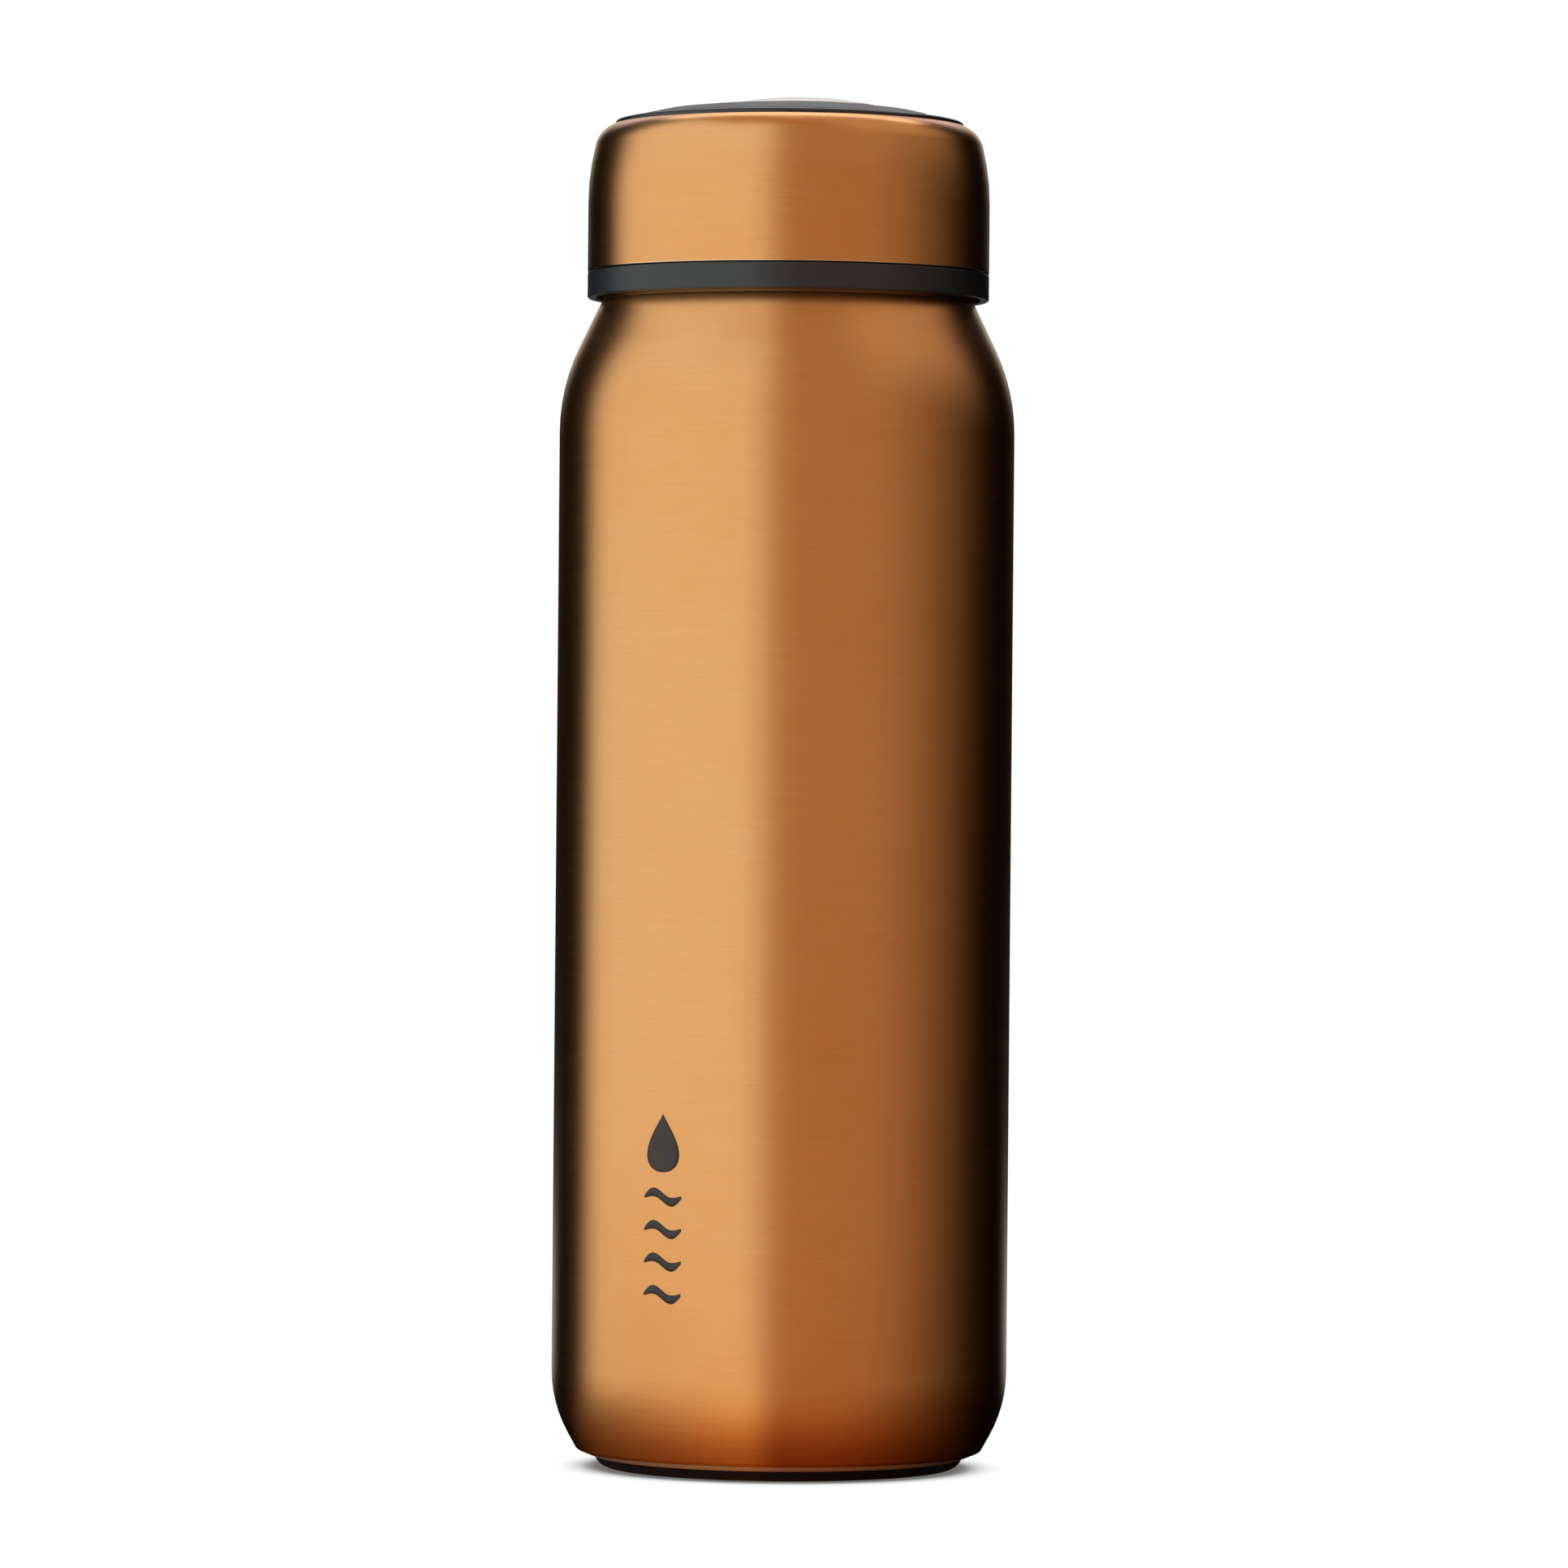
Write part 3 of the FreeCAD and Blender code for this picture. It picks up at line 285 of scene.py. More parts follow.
class Graph:
    """A small helper for building a node tree."""

    def __init__(self, tree):
        self.tree = tree
        self.shader = tree.nodes.get("Principled BSDF")

    def node(self, kind, **settings):
        made = self.tree.nodes.new(kind)
        for key, value in settings.items():
            setattr(made, key, value)
        return made

    def link(self, source, target):
        self.tree.links.new(source, target)

    def set(self, **values):
        for key, value in values.items():
            self.shader.inputs[key.replace("_", " ")].default_value = value

    def position(self, scale=(1, 1, 1)):
        """Object coordinates in metres, scaled."""
        place = self.node("ShaderNodeTexCoord")
        mapping = self.node("ShaderNodeMapping")
        mapping.inputs["Scale"].default_value = scale
        self.link(place.outputs["Object"], mapping.inputs["Vector"])
        return mapping.outputs["Vector"]

    def rings(self, centre_x, scale):
        """The distance in metres from an upright axis, scaled, as a texture place."""
        place = self.node("ShaderNodeTexCoord")
        split = self.node("ShaderNodeSeparateXYZ")
        self.link(place.outputs["Object"], split.inputs["Vector"])
        across = self.math("SUBTRACT", split.outputs["X"], centre_x)
        squares = self.math("ADD", self.math("MULTIPLY", across, across),
                            self.math("MULTIPLY", split.outputs["Y"], split.outputs["Y"]))
        made = self.node("ShaderNodeCombineXYZ")
        self.link(self.math("MULTIPLY", self.math("SQRT", squares), scale), made.inputs["X"])
        return made.outputs["Vector"]

    def noise(self, vector, scale=1.0, detail=3.0, roughness=0.5, distortion=0.0):
        made = self.node("ShaderNodeTexNoise")
        made.inputs["Scale"].default_value = scale
        made.inputs["Detail"].default_value = detail
        made.inputs["Roughness"].default_value = roughness
        made.inputs["Distortion"].default_value = distortion
        self.link(vector, made.inputs["Vector"])
        return made.outputs["Fac"]

    def ranged(self, value, low, high, to_low=0.0, to_high=1.0, smooth=False):
        made = self.node("ShaderNodeMapRange")
        made.interpolation_type = "SMOOTHSTEP" if smooth else "LINEAR"
        for key, number in (("From Min", low), ("From Max", high),
                            ("To Min", to_low), ("To Max", to_high)):
            made.inputs[key].default_value = number
        self.link(value, made.inputs["Value"])
        return made.outputs["Result"]

    def math(self, operation, first, second=None):
        made = self.node("ShaderNodeMath", operation=operation)
        for socket, value in zip(made.inputs, (first, second)):
            if value is None:
                continue
            if isinstance(value, (int, float)):
                socket.default_value = value
            else:
                self.link(value, socket)
        return made.outputs["Value"]

    def mixed(self, factor, first, second, blend="MIX"):
        made = self.node("ShaderNodeMix", data_type="RGBA", blend_type=blend)
        sockets = (made.inputs[0], made.inputs[6], made.inputs[7])
        for socket, value in zip(sockets, (factor, first, second)):
            if isinstance(value, (int, float)):
                socket.default_value = value
            elif isinstance(value, tuple):
                socket.default_value = (*value, 1.0)
            else:
                self.link(value, socket)
        return made.outputs[2]

    def grey(self, value):
        made = self.node("ShaderNodeCombineColor")
        for channel in ("Red", "Green", "Blue"):
            self.link(value, made.inputs[channel])
        return made.outputs["Color"]

    def ramp(self, value, stops):
        """A colour ramp over 0..1; stops are (place, colour) pairs."""
        made = self.node("ShaderNodeValToRGB")
        while len(made.color_ramp.elements) < len(stops):
            made.color_ramp.elements.new(0.5)
        for element, (place, tone) in zip(made.color_ramp.elements, stops):
            element.position = place
            element.color = (*tone, 1.0)
        self.link(value, made.inputs["Fac"])
        return made.outputs["Color"]

    def window(self, value, low, low_soft, high, high_soft):
        """1 between low and high, falling to 0 over twice the given softness."""
        opening = self.ranged(value, low - low_soft, low + low_soft, 0, 1, True)
        closing = self.ranged(value, high - high_soft, high + high_soft, 1, 0, True)
        return self.math("MULTIPLY", opening, closing)

    def bump(self, height, strength, distance):
        made = self.node("ShaderNodeBump")
        made.inputs["Strength"].default_value = strength
        made.inputs["Distance"].default_value = distance
        self.link(height, made.inputs["Height"])
        return made.outputs["Normal"]


def new_material(name):
    material = bpy.data.materials.new(name)
    material.use_nodes = True
    return material, Graph(material.node_tree)


def brushed_metal(name, colour, deep, roughness, mottling=0.35, anisotropy=0.75, lacquer=0.0,
                  spun_x=None):
    """Metal brushed round the bottle's axis: long fine lines, soft clouds of tint.

    With spun_x the lines are rings round an upright axis at that x, as on a spun disc.
    """
    material, graph = new_material(name)
    graph.set(Metallic=1.0, Anisotropic=anisotropy, Anisotropic_Rotation=0.25,
              Coat_Weight=lacquer, Coat_Roughness=0.2)
    tangent = graph.node("ShaderNodeTangent", direction_type="RADIAL", axis="Z")
    graph.link(tangent.outputs["Tangent"], graph.shader.inputs["Tangent"])
    if spun_x is None:
        fine_place, coarse_place = graph.position((170, 170, 6500)), graph.position((75, 75, 2400))
    else:
        fine_place, coarse_place = graph.rings(spun_x, 4500), graph.rings(spun_x, 1500)
    fine = graph.noise(fine_place, 1.0, 2.0, 0.6)
    coarse = graph.noise(coarse_place, 1.0, 2.0, 0.55)
    lines = graph.math("ADD", graph.math("MULTIPLY", fine, 0.55), graph.math("MULTIPLY", coarse, 0.45))
    clouds = graph.noise(graph.position((16, 16, 11)), 1.0, 2.0, 0.45, 0.6)
    patches = graph.noise(graph.position((110, 110, 190)), 1.0, 3.0, 0.6, 0.3)
    tint = graph.math("ADD", graph.ranged(clouds, 0.36, 0.66, 0.0, mottling * 0.8, smooth=True),
                      graph.ranged(patches, 0.35, 0.65, 0.0, mottling * 0.35))
    base = graph.mixed(tint, colour, deep)
    shade = graph.ranged(lines, 0.3, 0.7, 0.955, 1.035)
    graph.link(graph.mixed(1.0, base, graph.grey(shade), "MULTIPLY"),
               graph.shader.inputs["Base Color"])
    rough = graph.ranged(lines, 0.3, 0.7, roughness - 0.02, roughness + 0.03)
    graph.link(rough, graph.shader.inputs["Roughness"])
    graph.link(graph.bump(lines, 0.1, 0.00003), graph.shader.inputs["Normal"])
    return material


def moulded(name, colour, roughness, grain=9000, depth=0.00002, specular=0.5, sheen=0.0, coat=0.0):
    """Moulded plastic or rubber with a fine spark-eroded grain and faint handling marks."""
    material, graph = new_material(name)
    graph.set(Specular_IOR_Level=specular, Sheen_Weight=sheen, Sheen_Roughness=0.4,
              Coat_Weight=coat, Coat_Roughness=0.25)
    texture = graph.noise(graph.position((grain, grain, grain)), 0.35, 3.0, 0.6)
    smudges = graph.noise(graph.position((60, 60, 60)), 1.0, 3.0, 0.6, 0.4)
    pale = tuple(min(1.0, channel * 1.5 + 0.004) for channel in colour)
    graph.link(graph.mixed(graph.ranged(smudges, 0.35, 0.75, 0.0, 0.5), colour, pale),
               graph.shader.inputs["Base Color"])
    graph.link(graph.ranged(smudges, 0.3, 0.7, roughness - 0.05, roughness + 0.06),
               graph.shader.inputs["Roughness"])
    graph.link(graph.bump(texture, 0.25, depth), graph.shader.inputs["Normal"])
    return material


def clear_plastic(name, colour, roughness=0.04):
    material, graph = new_material(name)
    graph.set(Base_Color=(*colour, 1.0), IOR=1.54, Transmission_Weight=0.92)
    ripples = graph.noise(graph.position((220, 220, 220)), 1.0, 2.0)
    graph.link(graph.ranged(ripples, 0.3, 0.7, roughness, roughness + 0.05),
               graph.shader.inputs["Roughness"])
    graph.link(graph.bump(ripples, 0.05, 0.0002), graph.shader.inputs["Normal"])
    return material


def foil(name, colour):
    material, graph = new_material(name)
    graph.set(Metallic=1.0)
    creases = graph.noise(graph.position((90, 90, 60)), 1.0, 4.0, 0.6, 1.0)
    graph.link(graph.mixed(graph.ranged(creases, 0.3, 0.7), colour, tuple(c * 0.8 for c in colour)),
               graph.shader.inputs["Base Color"])
    graph.link(graph.ranged(creases, 0.3, 0.7, 0.18, 0.34), graph.shader.inputs["Roughness"])
    graph.link(graph.bump(creases, 0.4, 0.0006), graph.shader.inputs["Normal"])
    return material


COPPER = brushed_metal("copper_finish_look", (0.86, 0.44, 0.17), (0.82, 0.37, 0.11), 0.30, 0.6,
                       anisotropy=0.7, lacquer=0.25)
# Paler bare metal for the sleeve's rolled lower edge; its lighter colour is also a painted highlight
# of the light that edge catches.
BARE_EDGE_AND_HIGHLIGHT = brushed_metal("bare_edge_and_highlight_look", (0.95, 0.72, 0.52), (0.9, 0.66, 0.46), 0.2, 0.4)
STEEL = brushed_metal("bare_steel_look", (0.62, 0.62, 0.63), (0.54, 0.54, 0.55), 0.3, 0.5)
DISC_METAL = brushed_metal("disc_steel_look", (0.83, 0.82, 0.79), (0.79, 0.77, 0.72), 0.26, 0.15,
                           anisotropy=0.0, spun_x=DISC_X * MM)
BLACK = moulded("black_plastic_look", (0.008, 0.0115, 0.016), 0.32, specular=0.75)
SOFT = moulded("soft_touch_look", (0.024, 0.026, 0.027), 0.5, 7000, 0.00003, 0.55, 0.12)
SILICONE = moulded("silicone_look", (0.019, 0.0195, 0.024), 0.6, 5200, 0.00003, 0.12, 0.05)
MILKY = moulded("clear_silicone_look", (0.68, 0.68, 0.66), 0.4, 6000, 0.00002)
FOAM = moulded("foam_look", (0.78, 0.78, 0.76), 0.85, 3500, 0.0001)
SOLDER = moulded("solder_look", (0.42, 0.42, 0.41), 0.38, 4000, 0.00005)
GETTER = moulded("getter_look", (0.12, 0.115, 0.11), 0.7, 5000, 0.00008)
CLEAR = clear_plastic("clear_plastic_look", (0.93, 0.95, 0.96))
FOIL = foil("copper_foil_look", (0.86, 0.46, 0.30))
# A pale matte colour for the foot's edge: a painted highlight standing in for the light that the
# edge's small rounding catches.
FOOT_EDGE_HIGHLIGHT = moulded("painted_foot_highlight_look", (0.96, 0.93, 0.88), 0.35)
INK = moulded("ink_look", (0.030, 0.028, 0.030), 0.45, 8000, 0.00001)

NODE_LOOKS = {
    "inner_vessel": STEEL, "base_plate": STEEL, "cap_screws": STEEL, "loop_hinge_pin": STEEL,
    "vacuum_seal": SOLDER, "getter": GETTER, "radiation_shield": FOIL,
    "spout_o_ring": MILKY, "collar_gasket": MILKY, "cap_gasket": MILKY,
    "cap_core": BLACK, "cap_top": BLACK, "carry_loop": SOFT, "insulation_disc": FOAM,
    "outer_shell": COPPER, "cap_sleeve": COPPER, "base_pad": SILICONE,
    "collar_ring": BLACK, "drinking_spout": CLEAR, "top_disc": DISC_METAL,
}
for node_name, look in NODE_LOOKS.items():
    slots = nodes[node_name].data.materials
    for place in range(len(slots)):
        slots[place] = look


# ------------------------------------------------------------------ the bottle's shell

def add_shell():
    """The outer shell: foot bevel, heel, body, shoulder, neck step and threaded neck."""
    heel_run = (BODY_R - FOOT_CORNER_R) / math.tan(HEEL_LEAN)
    foot_corner_z = FOOT_Z + 1.2
    shoulder_corner_z = SHOULDER_START_Z + SHOULDER_ARC * math.tan(SHOULDER_LEAN / 2)
    shoulder_top_z = shoulder_corner_z + (BODY_R - SHOULDER_TOP_R) / math.tan(SHOULDER_LEAN)
    outside = [
        (PLATE_R, FOOT_Z, 0.0),
        (PAD_R + 0.1, FOOT_Z, 0.15),
        (FOOT_CORNER_R, foot_corner_z, 1.1),
        (BODY_R, foot_corner_z + heel_run, HEEL_ARC),
        (BODY_R, shoulder_corner_z, SHOULDER_ARC),
        (SHOULDER_TOP_R, shoulder_top_z, 0.25),
        (SHOULDER_TOP_R - 0.1, STEP_Z, 0.3),
        (NECK_R, STEP_Z, 0.5),
    ]
    neck = [
        (NECK_R, LIP_Z, 0.25),
        (NECK_R - WALL, LIP_Z, 0.0),
        (NECK_R - WALL, STEP_Z - WALL, 0.4),
    ]
    inside = [
        (SHOULDER_TOP_R - WALL - 0.1, STEP_Z - WALL, 0.5),
        (BODY_R - WALL, shoulder_corner_z - 0.1, SHOULDER_ARC - WALL),
        (BODY_R - WALL, foot_corner_z + heel_run + 0.1, HEEL_ARC - WALL),
        (FOOT_CORNER_R - WALL, foot_corner_z + 0.4, 0.8),
        (PLATE_R, FOOT_Z + WALL, 0.0),
    ]
    outline = rounded(outside + neck + inside)
    body = turned_mesh(outline, 256)
    ridges = ridge_mesh(NECK_R, 1, NECK_THREAD_Z)
    shell = new_object("shell", *joined(body, ridges))
    shell.data.materials.append(COPPER)
    shell.data.materials.append(STEEL)
    shell.data.materials.append(FOOT_EDGE_HIGHLIGHT)
    for face in shell.data.polygons:
        centre = face.center / MM
        reach = math.hypot(centre.x, centre.y)
        on_neck = centre.z > STEP_Z + 0.25 and reach < NECK_R + 1.2
        # The faces round the foot's edge take the painted highlight.
        on_foot_highlight = centre.z < FOOT_Z + 0.75 and reach > PAD_R
        face.material_index = 1 if on_neck else 2 if on_foot_highlight else 0
    return finished(shell, "bottle", "copper_finish", "outer_shell")


def add_base_pad():
    """The silicone pad under the foot, with its rounded edge and non-slip groove."""
    groove_r, groove_half, groove_depth = 22.0, 0.8, 0.5
    outline = rounded([
        (0.0, 0.0, 0.0),
        (groove_r - groove_half, 0.0, 0.15),
        (groove_r - groove_half, groove_depth, 0.15),
        (groove_r + groove_half, groove_depth, 0.15),
        (groove_r + groove_half, 0.0, 0.15),
        (PAD_R - 0.35, 0.0, 2.6),
        (PAD_R, FOOT_Z, 0.12),
        (0.0, FOOT_Z, 0.0),
    ], closed=False)
    pad = new_object("base_pad_skin", *turned_mesh(outline, 256, closed=False))
    pad.data.materials.append(SILICONE)
    return finished(pad, "bottle", "silicone", "base_pad")


def rib_meshes():
    """Small ribs across the groove under the collar's ring."""
    meshes = []
    low_r, high_r = GROOVE_INNER_R - 0.1, GROOVE_OUTER_R + 0.1
    for rib in range(RIB_COUNT):
        angle = FULL_TURN * rib / RIB_COUNT
        out = Vector((math.cos(angle), math.sin(angle), 0))
        side = Vector((-out.y, out.x, 0)) * (RIB_WIDTH / 2)
        corners = []
        for height, narrow in ((GROOVE_ROOF_Z + 0.1, 1.0), (RIB_LOW_Z + 0.12, 1.0), (RIB_LOW_Z, 0.7)):
            for radius, flip in ((low_r, -1), (high_r, -1), (high_r, 1), (low_r, 1)):
                point = out * radius + side * flip * narrow
                corners.append((point.x, point.y, height))
        faces = [[3, 2, 1, 0], [8, 9, 10, 11]]
        for level in (0, 4):
            for corner in range(4):
                following = (corner + 1) % 4
                faces.append([level + corner, level + following,
                              level + 4 + following, level + 4 + corner])
        meshes.append((corners, faces))
    return meshes


def add_collar():
    """The spout collar: visible ring, ribbed groove under it, deck and threaded skirt."""
    bore = NECK_R + THREAD_DEPTH + THREAD_GAP
    skirt_low = STEP_Z + 0.35
    outline = rounded([
        (bore, skirt_low, 0.2),
        (GROOVE_INNER_R, skirt_low, 0.2),
        (GROOVE_INNER_R, GROOVE_ROOF_Z, 0.2),
        (GROOVE_OUTER_R, GROOVE_ROOF_Z, 0.2),
        (GROOVE_OUTER_R, RING_LOW_Z, 0.2),
        (RING_R, RING_LOW_Z, 0.35),
        (RING_R, RING_HIGH_Z, 0.2),
        (COLLAR_R, RING_HIGH_Z, 0.4),
        (COLLAR_R, DECK_Z, 1.5),
        (SPOUT_R + 0.05, DECK_Z, 0.15),
        (SPOUT_R + 0.05, DECK_LOW_Z, 0.0),
        (bore, DECK_LOW_Z, 0.3),
    ])
    ridges = ridge_mesh(bore, -1, NECK_THREAD_Z - THREAD_LEAD / THREAD_STARTS / 2)
    collar = new_object("collar", *joined(turned_mesh(outline, 256), ridges, *rib_meshes()))
    collar.data.materials.append(BLACK)
    return finished(collar, "collar", "black_plastic", "collar_ring")


def add_spout():
    """The clear drinking spout with its rounded lip, flange and thread."""
    outline = rounded([
        (SPOUT_BORE_R, SPOUT_LOW_Z, 0.2),
        (SPOUT_FLANGE_R, SPOUT_LOW_Z, 0.2),
        (SPOUT_FLANGE_R, DECK_LOW_Z, 0.0),
        (O_RING_SEAT_OUTER_R, DECK_LOW_Z, 0.0),
        (O_RING_SEAT_OUTER_R, DECK_LOW_Z - O_RING_SEAT_DEPTH, 0.2),
        (O_RING_SEAT_INNER_R, DECK_LOW_Z - O_RING_SEAT_DEPTH, 0.2),
        (O_RING_SEAT_INNER_R, DECK_LOW_Z, 0.0),
        (SPOUT_R, DECK_LOW_Z, 0.0),
        (SPOUT_R, SPOUT_LIP_Z, 1.0),
        (SPOUT_BORE_R, SPOUT_LIP_Z, 1.0),
    ])
    ridges = ridge_mesh(SPOUT_R, 1, SPOUT_THREAD_Z, bite=-0.01)
    spout = new_object("spout", *joined(turned_mesh(outline, 192), ridges))
    spout.data.materials.append(CLEAR)
    return finished(spout, "collar", "clear_plastic", "drinking_spout")


def add_sleeve():
    """The cap's brushed sleeve: straight side, slow taper, rolled corner, top flange."""
    taper_r = RING_R
    # The corner arc joins the taper's line and the top flange's line where they cross.
    start_r, start_z = taper_r, SLEEVE_TAPER_Z
    flange_slope = 1 / math.tan(SLEEVE_TOP_LEAN)
    taper_slope = 1 / math.tan(SLEEVE_TAPER_LEAN)
    reach = SLEEVE_MOUTH_Z - start_z + (SLEEVE_MOUTH_R - start_r) * flange_slope
    step = reach / (taper_slope - flange_slope)
    corner_r, corner_z = start_r - step, start_z + step * taper_slope
    outline = rounded([
        (taper_r, SLEEVE_LOW_Z, 0.2),
        (taper_r, SLEEVE_TAPER_Z, SLEEVE_TAPER_ARC),
        (corner_r, corner_z, SLEEVE_CORNER_ARC),
        (SLEEVE_MOUTH_R, SLEEVE_MOUTH_Z, 0.15),
        (SLEEVE_MOUTH_R, SLEEVE_MOUTH_Z - SLEEVE_WALL, 0.1),
        (corner_r - 0.35, corner_z - SLEEVE_WALL, SLEEVE_CORNER_ARC - SLEEVE_WALL),
        (taper_r - SLEEVE_WALL, SLEEVE_TAPER_Z - 0.05, SLEEVE_TAPER_ARC - SLEEVE_WALL),
        (taper_r - SLEEVE_WALL, SLEEVE_LOW_Z, 0.15),
    ])
    sleeve = new_object("sleeve", *turned_mesh(outline, 256))
    sleeve.data.materials.append(COPPER)
    sleeve.data.materials.append(BARE_EDGE_AND_HIGHLIGHT)
    for face in sleeve.data.polygons:
        centre = face.center / MM
        # The rolled lower edge takes the paler metal, which is partly a painted highlight.
        rolled = centre.z < SLEEVE_LOW_Z + 0.3 and math.hypot(centre.x, centre.y) > taper_r - 0.3
        face.material_index = 1 if rolled else 0
    return finished(sleeve, "cap", "copper_finish", "cap_sleeve")


def add_top_disc():
    """The pale domed disc in the middle of the cap."""
    rise = DISC_CROWN_Z - DISC_EDGE_Z
    crown = (DISC_R ** 2 + rise ** 2) / (2 * rise)
    outline = [(0.0, DISC_SEAT_Z), (DISC_R, DISC_SEAT_Z), (DISC_R, DISC_EDGE_Z - 0.15),
               (DISC_R - 0.06, DISC_EDGE_Z - 0.03), (DISC_R - 0.2, DISC_EDGE_Z + 0.03)]
    steps = 14
    for step in range(1, steps):
        radius = (DISC_R - 0.2) * (1 - step / steps)
        height = DISC_CROWN_Z - crown + math.sqrt(crown ** 2 - radius ** 2)
        outline.append((radius, height))
    outline.append((0.0, DISC_CROWN_Z))
    disc = new_object("disc", *turned_mesh(outline, 192, closed=False, centre_x=DISC_X))
    disc.data.materials.append(DISC_METAL)
    return finished(disc, "cap", "disc_steel", "top_disc")


def print_strip(stations, columns=8):
    """A thin printed stroke on the body; stations are pairs of (arc, height) edge points."""
    vertices, faces = [], []
    row = columns + 1
    for level in (INK_HEIGHT, -INK_HEIGHT):
        for left, right in stations:
            for column in range(row):
                share = column / columns
                arc = left[0] + (right[0] - left[0]) * share
                height = left[1] + (right[1] - left[1]) * share
                angle = MARK_ANGLE + arc / BODY_R
                radius = BODY_R + level
                vertices.append((radius * math.cos(angle), radius * math.sin(angle), height))
    rows = len(stations)
    under = rows * row
    for place in range(rows - 1):
        for column in range(columns):
            corner = place * row + column
            quad = [corner, corner + 1, corner + row + 1, corner + row]
            faces.append(quad)
            faces.append([under + index for index in reversed(quad)])
        for column in (0, columns):
            corner = place * row + column
            faces.append([corner, corner + row, under + corner + row, under + corner])
    for place in (0, (rows - 1) * row):
        for column in range(columns):
            corner = place + column
            faces.append([corner, corner + 1, under + corner + 1, under + corner])
    return vertices, faces


def add_mark():
    """A generic printed mark: a drop above four ripples."""
    strips = []
    drop_low, drop_high, drop_half = 50.6, 60.2, 3.1
    stations = []
    steps = 36
    for step in range(1, steps):
        turn = math.pi * step / steps
        half = drop_half * math.sin(turn) * math.sin(turn / 2) ** 1.35 * 1.36
        height = drop_low + (drop_high - drop_low) * (1 + math.cos(turn)) / 2
        stations.append(((-half, height), (half, height)))
    strips.append(print_strip(stations))
    ripple_half, thickness, swell = 3.5, 0.72, 0.8
    for middle in (46.6, 41.3, 36.0, 30.7):
        stations = []
        for step in range(steps + 1):
            arc = -ripple_half + 2 * ripple_half * step / steps
            crest = middle + swell * math.sin(FULL_TURN * step / steps)
            end = min(1.0, 4 * step / steps, 4 * (steps - step) / steps)
            half = thickness * (0.35 + 0.65 * math.sin(end * math.pi / 2))
            stations.append(((arc, crest - half), (arc, crest + half)))
        strips.append(print_strip(stations, 2))
    mark = new_object("mark", *joined(*strips))
    mark.data.materials.append(INK)
    return finished(mark, "bottle", "black_plastic")


add_shell()
add_base_pad()
add_collar()
add_spout()
add_sleeve()
add_top_disc()
add_mark()


# ------------------------------------------------------------------ camera

CAMERA_DISTANCE = 1.3157
CAMERA_HEIGHT = 0.1141
CAMERA_ROLL = math.radians(-0.5)

camera_data = bpy.data.cameras.new("camera")
camera_data.sensor_width = 36.0
camera_data.lens = 180.7
camera = bpy.data.objects.new("camera", camera_data)
bpy.context.scene.collection.objects.link(camera)
camera.location = (0.0, -CAMERA_DISTANCE, CAMERA_HEIGHT)
camera.rotation_euler = (math.radians(90), CAMERA_ROLL, 0.0)
bpy.context.scene.camera = camera


# ------------------------------------------------------------------ studio

# What stands round the table: a big white soft box to the left, a dim warm wall to the
# right, and darkness behind. Azimuth is in degrees: 0 is the camera's side, + is to the right.
SOFT_BOX = (0.9, 0.9, 0.85)
WARM_WALL = (0.45, 0.3, 0.2)
BOX_FROM, BOX_TO, BOX_SOFTNESS = -115, -10, 12
WALL_TO, WALL_SOFTNESS = 80, 40

# A round bottle mirrors the table as if seen from this far in front of its axis: half the
# radius for the table at its foot, and more for the far table, which its sides mirror.
MIRROR_FOCUS = (0.018, 0.045)

TALL_TINT = (1.02, 1.09, 1.27)
UPPER_ROOM = (0.43, 0.24, 0.10)
SCREEN_TINT = (1.0, 0.96, 1.15)
LOW_SCREEN_TINT = (1.0, 0.96, 0.84)
WINDOW_LIGHT = (0.60, 0.47, 0.38)
FLOOR_HALF = 6.0
CONTACT_REACH = 0.024
CONTACT_SHADE = (0.16, 0.155, 0.15)
FLOOR_GLOW = (
    (0.034, (0.30, 0.075, 0.006)), (0.044, (0.66, 0.31, 0.12)),
    (0.060, (0.98, 0.70, 0.48)), (0.12, (1.0, 0.87, 0.73)),
    (0.4, (1.0, 0.96, 0.90)), (1.0, (1.02, 1.06, 1.12)),
)


def surround(graph, across, away):
    """The light from a direction round the table, and the direction's azimuth."""
    turn = graph.math("ARCTAN2", across, graph.math("MULTIPLY", away, -1))
    azimuth = graph.math("MULTIPLY", turn, 180 / math.pi)
    box = graph.window(azimuth, BOX_FROM, BOX_SOFTNESS, BOX_TO, BOX_SOFTNESS)
    wall = graph.window(azimuth, BOX_TO, BOX_SOFTNESS, WALL_TO, WALL_SOFTNESS)
    box_light = graph.mixed(box, (0.0, 0.0, 0.0), SOFT_BOX)
    wall_light = graph.mixed(wall, (0.0, 0.0, 0.0), WARM_WALL)
    return graph.mixed(1.0, box_light, wall_light, "ADD"), azimuth


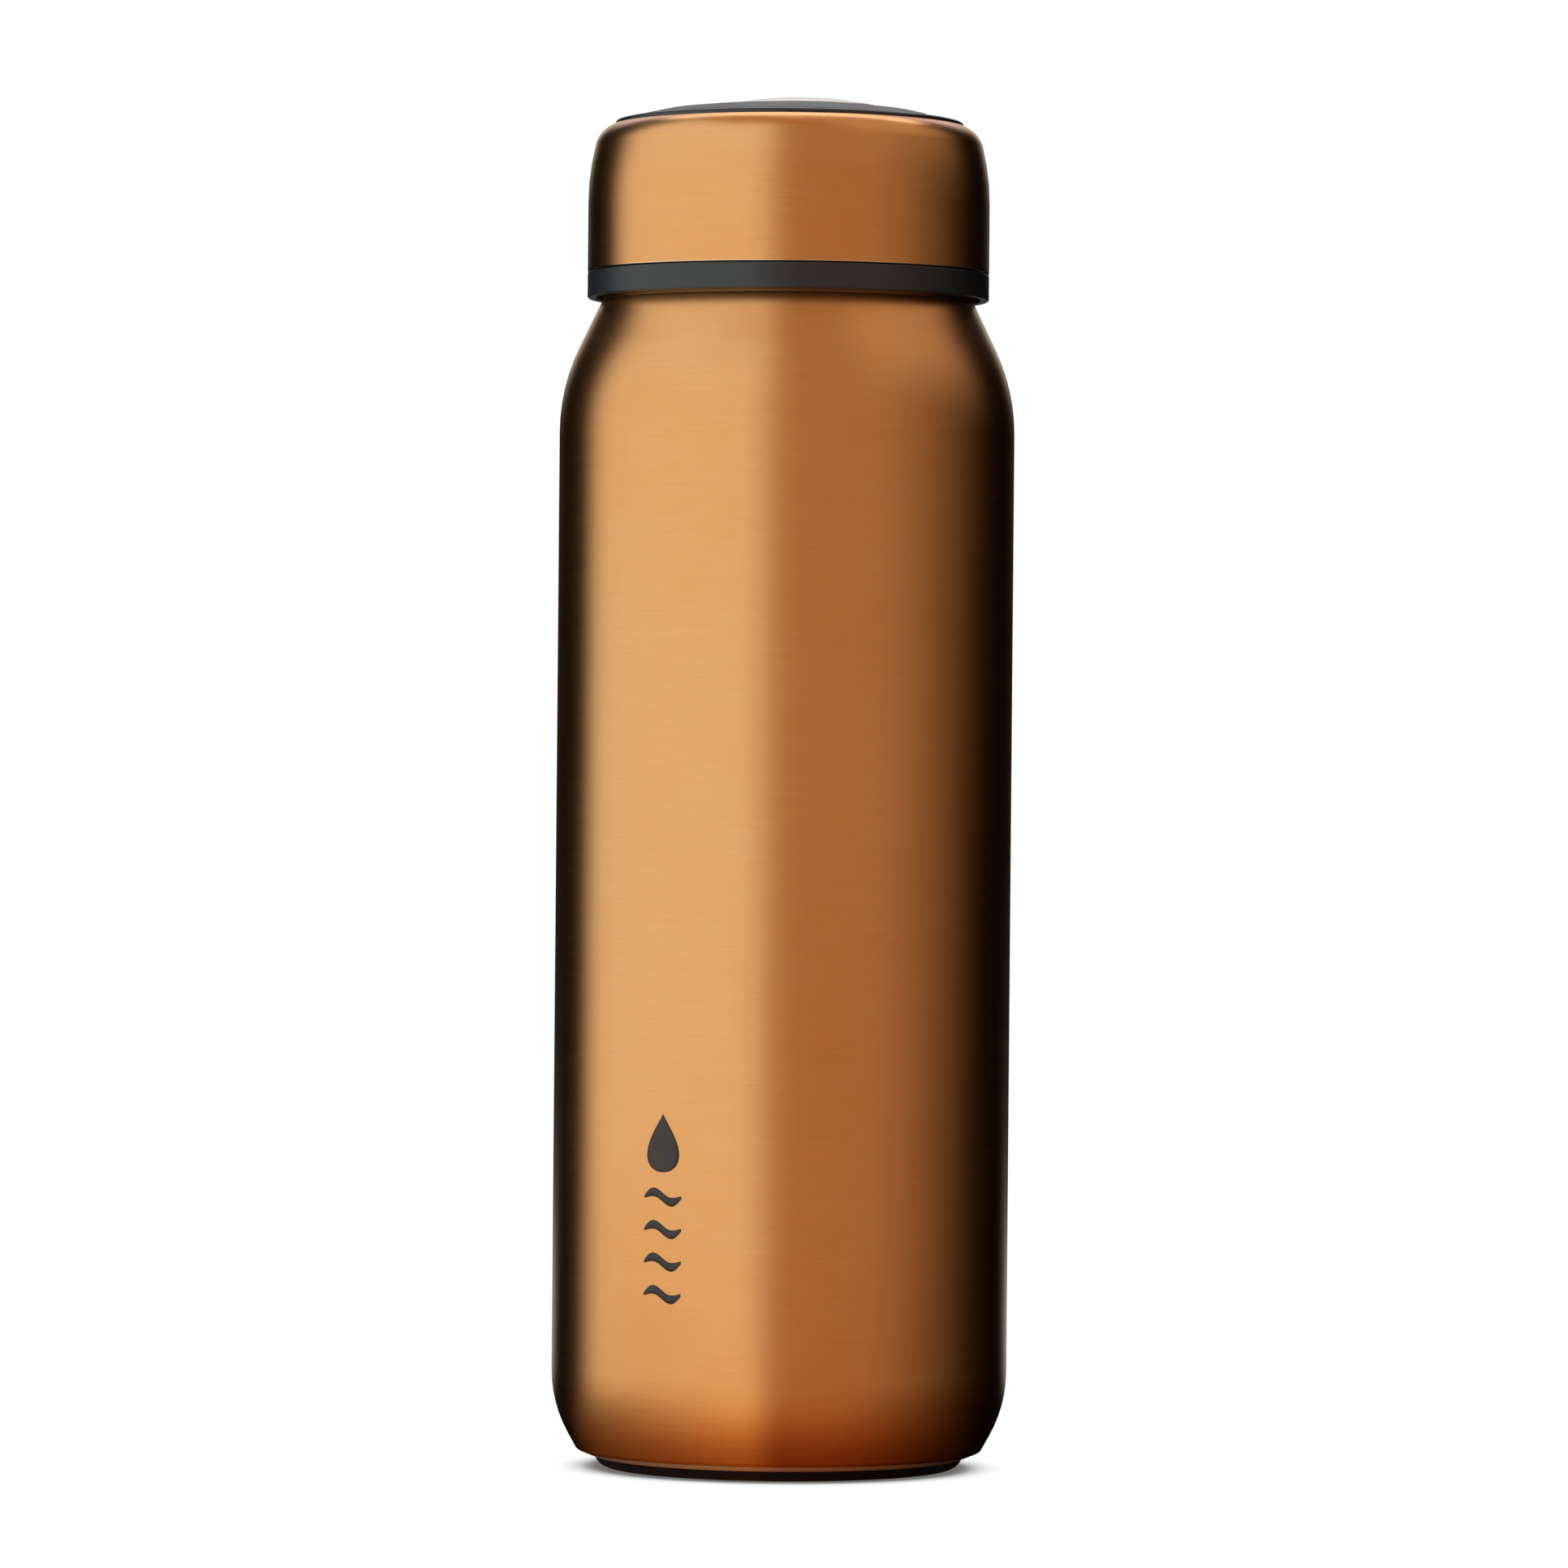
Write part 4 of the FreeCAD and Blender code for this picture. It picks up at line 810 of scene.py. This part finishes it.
def studio_world():
    """Plain white to the camera; to the metal, the table's surroundings, an upper room,
    two pale screens behind and a window on the right."""
    world = bpy.data.worlds.new("studio")
    bpy.context.scene.world = world
    world.use_nodes = True
    world.node_tree.nodes.clear()
    graph = Graph(world.node_tree)
    place = graph.node("ShaderNodeTexCoord")
    split = graph.node("ShaderNodeSeparateXYZ")
    graph.link(place.outputs["Generated"], split.inputs["Vector"])
    across, away, up = split.outputs
    room, azimuth = surround(graph, across, away)
    behind = graph.math("ABSOLUTE", azimuth)
    elevation = graph.math("MULTIPLY", graph.math("ARCSINE", up), 180 / math.pi)
    tall = graph.mixed(graph.ranged(elevation, 0, 45), (1.0, 1.0, 1.0), TALL_TINT)
    room = graph.mixed(1.0, room, tall, "MULTIPLY")
    room = graph.mixed(graph.ranged(elevation, 54, 70, 0, 1, True), room, UPPER_ROOM)
    screen = graph.math("MULTIPLY", graph.ranged(behind, 148, 164, 0, 1.15, True),
                        graph.window(elevation, 23, 5, 38, 7))
    low_screen = graph.math("MULTIPLY", graph.ranged(behind, 156, 170, 0, 0.72, True),
                            graph.ranged(elevation, 3, 9, 0, 1, True))
    screens = graph.mixed(1.0, graph.mixed(1.0, graph.grey(screen), SCREEN_TINT, "MULTIPLY"),
                          graph.mixed(1.0, graph.grey(low_screen), LOW_SCREEN_TINT, "MULTIPLY"),
                          "LIGHTEN")
    window = graph.math("MULTIPLY", graph.window(azimuth, 42, 12, 120, 14),
                        graph.ranged(elevation, 2, 40, 0, 1, True))
    window = graph.mixed(1.0, graph.grey(window), WINDOW_LIGHT, "MULTIPLY")
    lit = graph.mixed(1.0, graph.mixed(1.0, room, screens, "LIGHTEN"), window, "LIGHTEN")
    rays = graph.node("ShaderNodeLightPath")
    shown = graph.mixed(rays.outputs["Is Camera Ray"], lit, (1.0, 1.0, 1.0))
    background = graph.node("ShaderNodeBackground")
    output = graph.node("ShaderNodeOutputWorld")
    graph.link(shown, background.inputs["Color"])
    graph.link(background.outputs["Background"], output.inputs["Surface"])


def add_floor():
    """The floor: white with a soft painted contact shadow to the camera; to the metal it glows with
    painted light.
    """
    side = FLOOR_HALF
    mesh = bpy.data.meshes.new("floor")
    mesh.from_pydata([(-side, -side, 0), (side, -side, 0), (side, side, 0), (-side, side, 0)], [],
                     [(0, 1, 2, 3)])
    floor = bpy.data.objects.new("floor", mesh)
    bpy.context.scene.collection.objects.link(floor)
    material, graph = new_material("floor_look")
    graph.tree.nodes.remove(graph.shader)
    occlusion = graph.node("ShaderNodeAmbientOcclusion", samples=16)
    occlusion.inputs["Distance"].default_value = CONTACT_REACH
    open_sky = graph.ranged(occlusion.outputs["AO"], 0.12, 0.55, 0.0, 1.0, True)
    shade = graph.mixed(open_sky, CONTACT_SHADE, (1.0, 1.0, 1.0))
    seen = graph.node("ShaderNodeEmission")
    graph.link(shade, seen.inputs["Color"])
    # What the metal reflects is painted light glowing from the floor: an orange glow close to the
    # foot, the room's own light further out, and a pale patch of painted light on the table behind the
    # bottle.
    place = graph.node("ShaderNodeTexCoord")
    split = graph.node("ShaderNodeSeparateXYZ")
    graph.link(place.outputs["Object"], split.inputs["Vector"])
    across, away = split.outputs["X"], split.outputs["Y"]
    reach = graph.node("ShaderNodeVectorMath", operation="LENGTH")
    graph.link(place.outputs["Object"], reach.inputs[0])
    reach = reach.outputs["Value"]
    focus = graph.ranged(reach, 0.045, 0.12, *MIRROR_FOCUS)
    room, azimuth = surround(graph, across, graph.math("ADD", away, focus))
    behind = graph.math("ABSOLUTE", azimuth)
    glow = graph.ramp(reach, FLOOR_GLOW)
    # Beside the foot the table lies in the bottle's own shade.
    beside = graph.math("MULTIPLY", graph.ranged(behind, 25, 110, 0, 0.85),
                        graph.ranged(reach, 0.05, 0.14, 1.0, 0.0))
    glow = graph.mixed(beside, glow, (0.0, 0.0, 0.0))
    patch = graph.math("MULTIPLY", graph.ranged(behind, 146, 168, 0, 0.5, True),
                       graph.window(reach, 0.16, 0.05, 0.7, 0.2))
    lit = graph.mixed(1.0, graph.mixed(1.0, room, glow, "MULTIPLY"), graph.grey(patch), "LIGHTEN")
    # An emission, not a matte surface: the painted light that reflection rays see on the floor.
    reflected_glow = graph.node("ShaderNodeEmission")
    graph.link(lit, reflected_glow.inputs["Color"])
    rays = graph.node("ShaderNodeLightPath")
    mix = graph.node("ShaderNodeMixShader")
    graph.link(rays.outputs["Is Camera Ray"], mix.inputs[0])
    graph.link(reflected_glow.outputs["Emission"], mix.inputs[1])
    graph.link(seen.outputs["Emission"], mix.inputs[2])
    graph.link(mix.outputs["Shader"], graph.tree.nodes["Material Output"].inputs["Surface"])
    mesh.materials.append(material)


def add_light(name, place, size_x, size_y, power, colour):
    data = bpy.data.lights.new(name, "AREA")
    data.shape = "RECTANGLE"
    data.size, data.size_y = size_x, size_y
    data.energy = power
    data.color = colour
    light = bpy.data.objects.new(name, data)
    light.location = place
    aim = Vector((0, 0, 0.12)) - Vector(place)
    light.rotation_euler = aim.to_track_quat("-Z", "Y").to_euler()
    light.visible_camera = False
    bpy.context.scene.collection.objects.link(light)


studio_world()
add_floor()
add_light("overhead_box", (0.08, 0.8, 1.35), 1.3, 0.3, 3.2, (1.0, 0.97, 0.97))

bpy.context.scene.view_settings.view_transform = "Standard"
